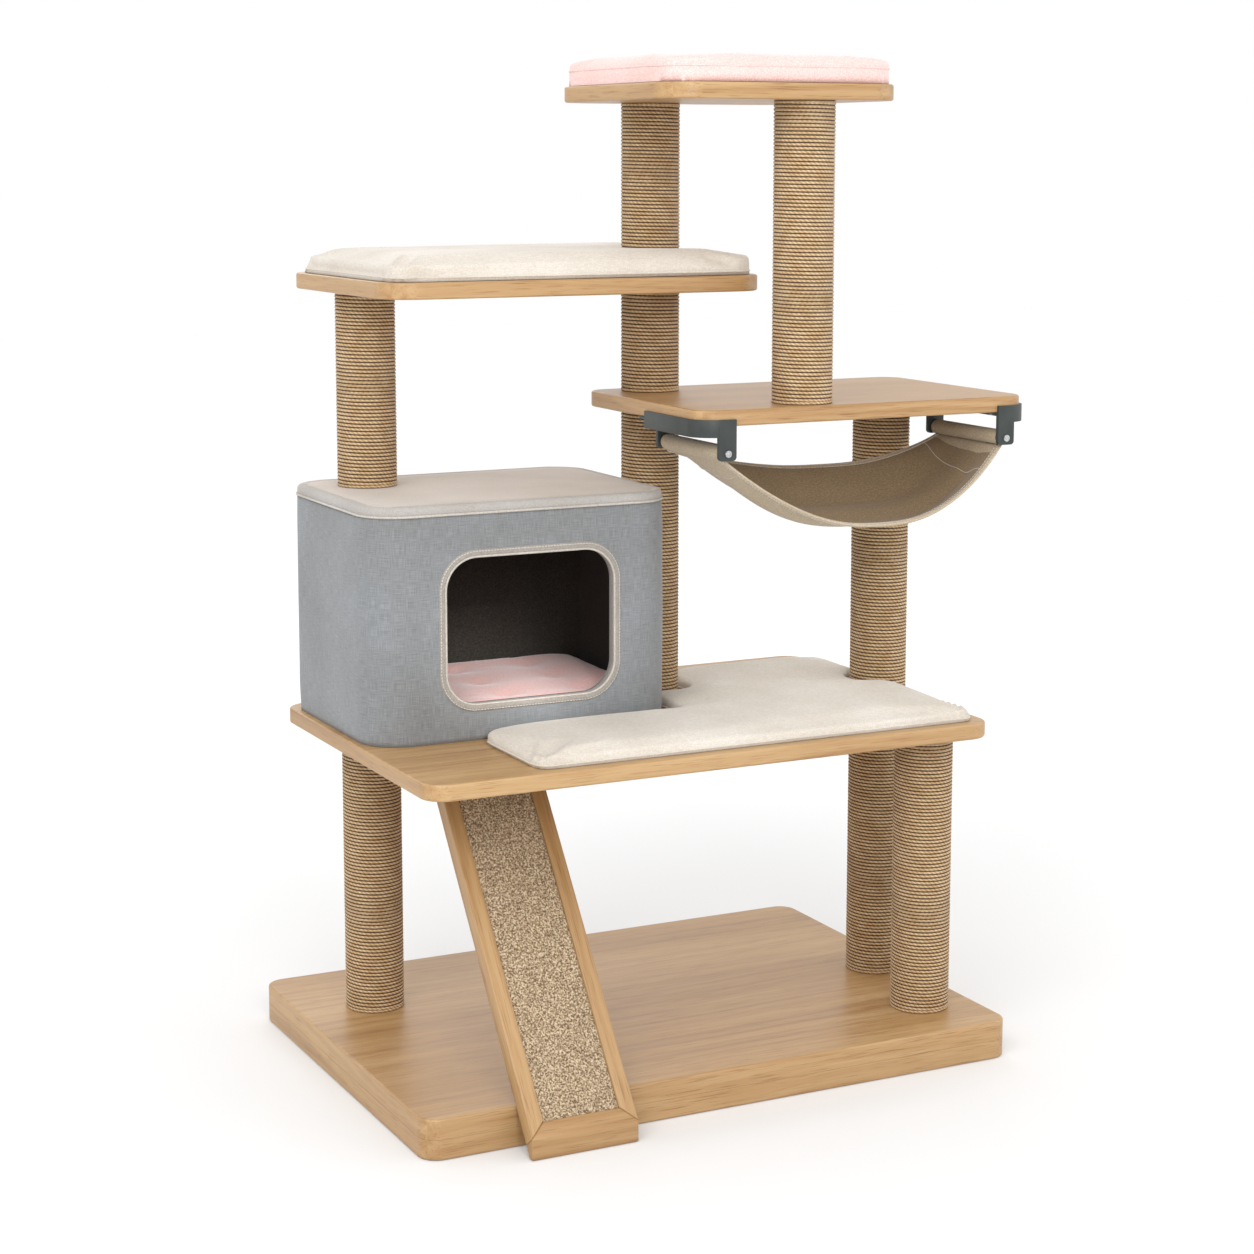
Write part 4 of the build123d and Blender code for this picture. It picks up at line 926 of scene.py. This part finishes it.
def cloth_row(back):
    """One thread of the cloth, up round the left sleeve, across, and up round the right one."""
    y = hang(0.5, back).y
    row = []
    for k in range(SLEEVE_STEPS):
        angle = math.radians(-60 + 330 * k / SLEEVE_STEPS)
        row.append(Vector((left_x + SLEEVE_RADIUS * math.cos(angle), y,
                           BAR_CENTRE_Z + SLEEVE_RADIUS * math.sin(angle))))
    row += [hang(k / ACROSS, back) for k in range(ACROSS + 1)]
    for k in range(SLEEVE_STEPS):
        angle = math.radians(-90 - (-360 + 30) * (k + 1) / SLEEVE_STEPS)
        row.append(Vector((right_x + SLEEVE_RADIUS * math.cos(angle), y,
                           BAR_CENTRE_Z + SLEEVE_RADIUS * math.sin(angle))))
    return row


def open_sheet(name, rows):
    """A sheet of quads over rows of points, with a UV map in metres."""
    mesh, bm = bpy.data.meshes.new(name), bmesh.new()
    uv = bm.loops.layers.uv.new("metres")
    grid = [[bm.verts.new(p) for p in row] for row in rows]
    run = [0.0]
    for a, b in zip(rows[0], rows[0][1:]):
        run.append(run[-1] + (b - a).length)
    for j in range(len(rows) - 1):
        for i in range(len(rows[0]) - 1):
            face = bm.faces.new((grid[j][i], grid[j][i + 1], grid[j + 1][i + 1], grid[j + 1][i]))
            for loop, (u, v) in zip(face.loops, ((i, j), (i + 1, j), (i + 1, j + 1), (i, j + 1))):
                loop[uv].uv = (run[u], (rows[v][0] - rows[0][0]).length)
    bm.to_mesh(mesh)
    bm.free()
    return mesh


rows = [cloth_row(k / DEEP) for k in range(DEEP + 1)]
flat_width = cloth_high[1] - cloth_low[1]
sheet_mesh = with_modifiers(open_sheet("canvas", rows),
                            ("SOLIDIFY", {"thickness": CLOTH_THICK, "offset": 0.0}),
                            ("SUBSURF", {"levels": 1, "render_levels": 1}))
# Faces that look up into the hollow, between the sleeves, take the darker copy of the canvas: painted shade.
for polygon in sheet_mesh.polygons:
    between = left_x + SLEEVE_RADIUS < polygon.center.x < right_x - SLEEVE_RADIUS
    polygon.material_index = int(polygon.normal.z > 0.05 and between and polygon.center.z < BAR_CENTRE_Z)
hammock = place_piece("hammock_canvas_cloth", sheet_mesh, [canvas, shaded_inner_canvas], "hammock_canvas", "root",
                      "hammock_cloth")

# %% Hems and their stitches
HEM_WIDTH, HEM_THICK = 0.011, 0.0044
hems, stitch_rows = [], []
for edge_name, back, inwards in (("front", 0.0, 1), ("back", 1.0, -1)):
    share = HEM_WIDTH / flat_width * inwards
    line = [hang(k / ACROSS, back) for k in range(ACROSS + 1)]
    within = [hang(k / ACROSS, back + share) for k in range(ACROSS + 1)]
    rings = []
    for outer_point, inner_point in zip(line, within):
        across = (inner_point - outer_point).normalized()
        up = Vector((0, 0, 1)) if abs(across.z) < 0.9 else Vector((1, 0, 0))
        lift = up * HEM_THICK / 2
        side = across * HEM_WIDTH
        start = outer_point - across * 0.0015
        rings.append([start - lift * 0.6, start + lift * 0.6,
                      start + side * 0.25 + lift, start + side * 0.75 + lift,
                      start + side + lift * 0.5, start + side - lift * 0.5,
                      start + side * 0.75 - lift, start + side * 0.25 - lift])
    hems.append(skin(edge_name, rings))
    for gap in (0.22, 0.8):
        for above in (1.02, -1.02):
            stitch_lift = Vector((0, 0, above * HEM_THICK / 2))
            stitch_rows.append(([a.lerp(b, gap) + stitch_lift for a, b in zip(line, within)], False))
SLEEVE_SEAM = 6 / ACROSS
for t in (SLEEVE_SEAM, 1 - SLEEVE_SEAM):
    for side in (1, -1):
        line = [hang(t, k / DEEP) for k in range(2, DEEP - 1)]
        out = Vector((-(hang(t + 0.004, 0.5) - hang(t - 0.004, 0.5)).z, 0,
                      (hang(t + 0.004, 0.5) - hang(t - 0.004, 0.5)).x)).normalized()
        stitch_rows.append(([p + out * side * CLOTH_THICK * 0.7 for p in line], False))
hem = place_piece("hammock_hems", joined("hems", hems), [hem_canvas], "hammock_canvas", "root")
hem_stitches = grow(stitch_tree, path_mesh(*stitch_rows), Spacing=0.0045, Thread=0.0005, Material=thread_pale)
sewn = place_piece("hammock_hem_stitches", hem_stitches, [thread_pale], "hammock_canvas", "root")

# %% [markdown]
# ## Brackets and ramp rails
# Moulded plastic has no sharp edge, because a mould can't be filled into one, and sanded oak has none
# either. The frame's plain solids get a fine rounded edge, which catches the light as a thin line.


# %% Rounded edges
BRACKET_EDGE, RAIL_EDGE, TOP_RAIL_EDGE = 0.0014, 0.0022, 0.0010


def eased(node, name, width, material, slot, body, segments=3):
    """A copy of a frame node whose sharp edges are rounded."""
    mesh = with_modifiers(clean_copy(node),
                          ("BEVEL", {"width": width, "segments": segments, "limit_method": "ANGLE",
                                     "angle_limit": math.radians(35), "harden_normals": False}))
    mesh.set_sharp_from_angle(angle=math.radians(40))
    return place_piece(name, mesh, [material], slot, body, node)


for side in ("left", "right"):
    eased(side + "_bracket", side + "_moulded_bracket", BRACKET_EDGE, slate_plastic, "bracket_plastic", "root")
    eased(f"ramp_{side}_rail", f"ramp_{side}_oak_rail", RAIL_EDGE, rail_oak, "ramp_oak", "ramp")
eased("ramp_foot_rail", "ramp_foot_oak_rail", RAIL_EDGE, cross_rail_oak, "ramp_oak", "ramp")
eased("ramp_top_rail", "ramp_top_oak_rail", TOP_RAIL_EDGE, cross_rail_oak, "ramp_oak", "ramp")

# %% [markdown]
# ## The ramp's mat
# The mat is a looped carpet: a backing with rows of small yarn loops, each a few millimetres across. A loop
# is one stretched bead of yarn, placed on a jittered grid over the mat's slope, each turned its own way.

# %% Looped mat
LOOP_PITCH, LOOP_RADIUS = 0.0036, 0.0018
JITTER_ACROSS, JITTER_ALONG, LOOP_SINK, BARE_EDGE = 0.0006, 0.0007, 0.0008, 0.001
yarn, yarn_tree, yarn_shader, yarn_place = start_material("looped_jute_yarn", 0.9, sheen=0.2)
dye = streaks(yarn_tree, yarn_place, (420, 420, 420), 1.0)
tone = add_node(yarn_tree, COLOUR_RAMP, {"Fac": dye},
                stops=((0.32, "#66533D"), (0.5, "#A08A6E"), (0.68, "#D0BEA3")))
fuzz = streaks(yarn_tree, yarn_place, (1400, 1400, 1400))
relief = add_node(yarn_tree, BUMP, {"Height": fuzz, "Distance": 0.3 * MM, "Strength": 1.0})
feed(yarn_tree, yarn_shader.inputs["Base Color"], tone)
feed(yarn_tree, yarn_shader.inputs["Normal"], relief)

mat = frame["nodes"]["ramp_mat"]
mat_low, mat_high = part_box("ramp_mat")
slope_along = Vector((0, math.cos(RAMP_SLOPE), math.sin(RAMP_SLOPE)))
slope_up = Vector((0, -math.sin(RAMP_SLOPE), math.cos(RAMP_SLOPE)))
surface = max(v.co.dot(slope_up) for v in mat.data.vertices)
along_low = min(v.co.dot(slope_along) for v in mat.data.vertices)
along_high = max(v.co.dot(slope_along) for v in mat.data.vertices)
generator = random.Random(7)
count_x = round((mat_high[0] - mat_low[0]) / LOOP_PITCH)
count_y = round((along_high - along_low) / LOOP_PITCH)
points = []
for i in range(count_x):
    for j in range(count_y):
        x = mat_low[0] + LOOP_PITCH * (i + 0.5 + 0.25 * (j % 2))
        x += generator.uniform(-JITTER_ACROSS, JITTER_ACROSS)
        a = along_low + LOOP_PITCH * (j + 0.5) + generator.uniform(-JITTER_ALONG, JITTER_ALONG)
        if x < mat_high[0] - BARE_EDGE:
            points.append(Vector((x, 0, 0)) + slope_along * a + slope_up * (surface - LOOP_SINK))
loop_points = bpy.data.meshes.new("loop_points")
loop_points.from_pydata([tuple(p) for p in points], [], [])
loop_tree, given, loop_end = new_tree("carpet_loops", Radius="Float", Slope="Float", Seed="Int",
                                      Material="Material")
bead_mesh = add_node(loop_tree, "GeometryNodeMeshUVSphere",
                     {"Segments": 7, "Rings": 4, "Radius": given["Radius"]})
spin = add_node(loop_tree, "FunctionNodeRandomValue", {2: -0.7, 3: 0.7, "Seed": given["Seed"]},
                data_type="FLOAT")
facing_loop = add_node(loop_tree, "ShaderNodeCombineXYZ", {0: given["Slope"], 2: spin.outputs[1]})
size = add_node(loop_tree, "FunctionNodeRandomValue", {0: (0.75, 1.15, 0.75), 1: (1.0, 1.7, 1.05),
                                                       "Seed": given["Seed"]}, data_type="FLOAT_VECTOR")
placed = add_node(loop_tree, "GeometryNodeInstanceOnPoints", {
    "Points": given["Geometry"], "Instance": bead_mesh.outputs[0], "Rotation": facing_loop.outputs[0],
    "Scale": size.outputs[0]})
finish_tree(loop_tree, loop_end, placed.outputs[0], given["Material"])
loop_pile = grow(loop_tree, loop_points, Radius=LOOP_RADIUS, Slope=RAMP_SLOPE, Seed=11, Material=yarn)
place_piece("ramp_mat_loops", loop_pile, [yarn], "ramp_carpet", "ramp")
backing = with_modifiers(clean_copy("ramp_mat"), ("BEVEL", {"width": 0.0008, "segments": 2}))
place_piece("ramp_mat_backing", backing, [yarn], "ramp_carpet", "ramp", "ramp_mat")

# %% [markdown]
# ## The floor
# A plain pale floor takes the tree's soft shadow, and is a little darker near the tree.

# %% Floor
FLOOR_REACH, SHADE_REACH, FLOOR_GLOW, FLOOR_DROP = 14.0, 4.0, 0.09, 0.0005
paper, paper_tree, paper_shader, paper_place = start_material("matt_white_floor", 0.9)
away = add_node(paper_tree, "ShaderNodeVectorMath", {0: paper_place}, operation="LENGTH").outputs["Value"]
distance = add_node(paper_tree, MATH, {0: away, 1: SHADE_REACH}, operation="DIVIDE")
tint = add_node(paper_tree, COLOUR_RAMP, {"Fac": distance}, stops=((0.2, "#DDDDDD"), (0.9, "#F5F5F5")))
feed(paper_tree, paper_shader.inputs["Base Color"], tint)
feed(paper_tree, paper_shader.inputs["Emission Color"], (1, 1, 1, 1))
feed(paper_tree, paper_shader.inputs["Emission Strength"], FLOOR_GLOW)
floor_mesh = bpy.data.meshes.new("floor")
floor_corners = [(x * FLOOR_REACH, y * FLOOR_REACH, -FLOOR_DROP)
                 for x, y in ((-1, -1), (1, -1), (1, 1), (-1, 1))]
floor_mesh.from_pydata(floor_corners, [], [(0, 1, 2, 3)])
floor_mesh.materials.append(paper)
floor = bpy.data.objects.new("floor", floor_mesh)
bpy.context.scene.collection.objects.link(floor)
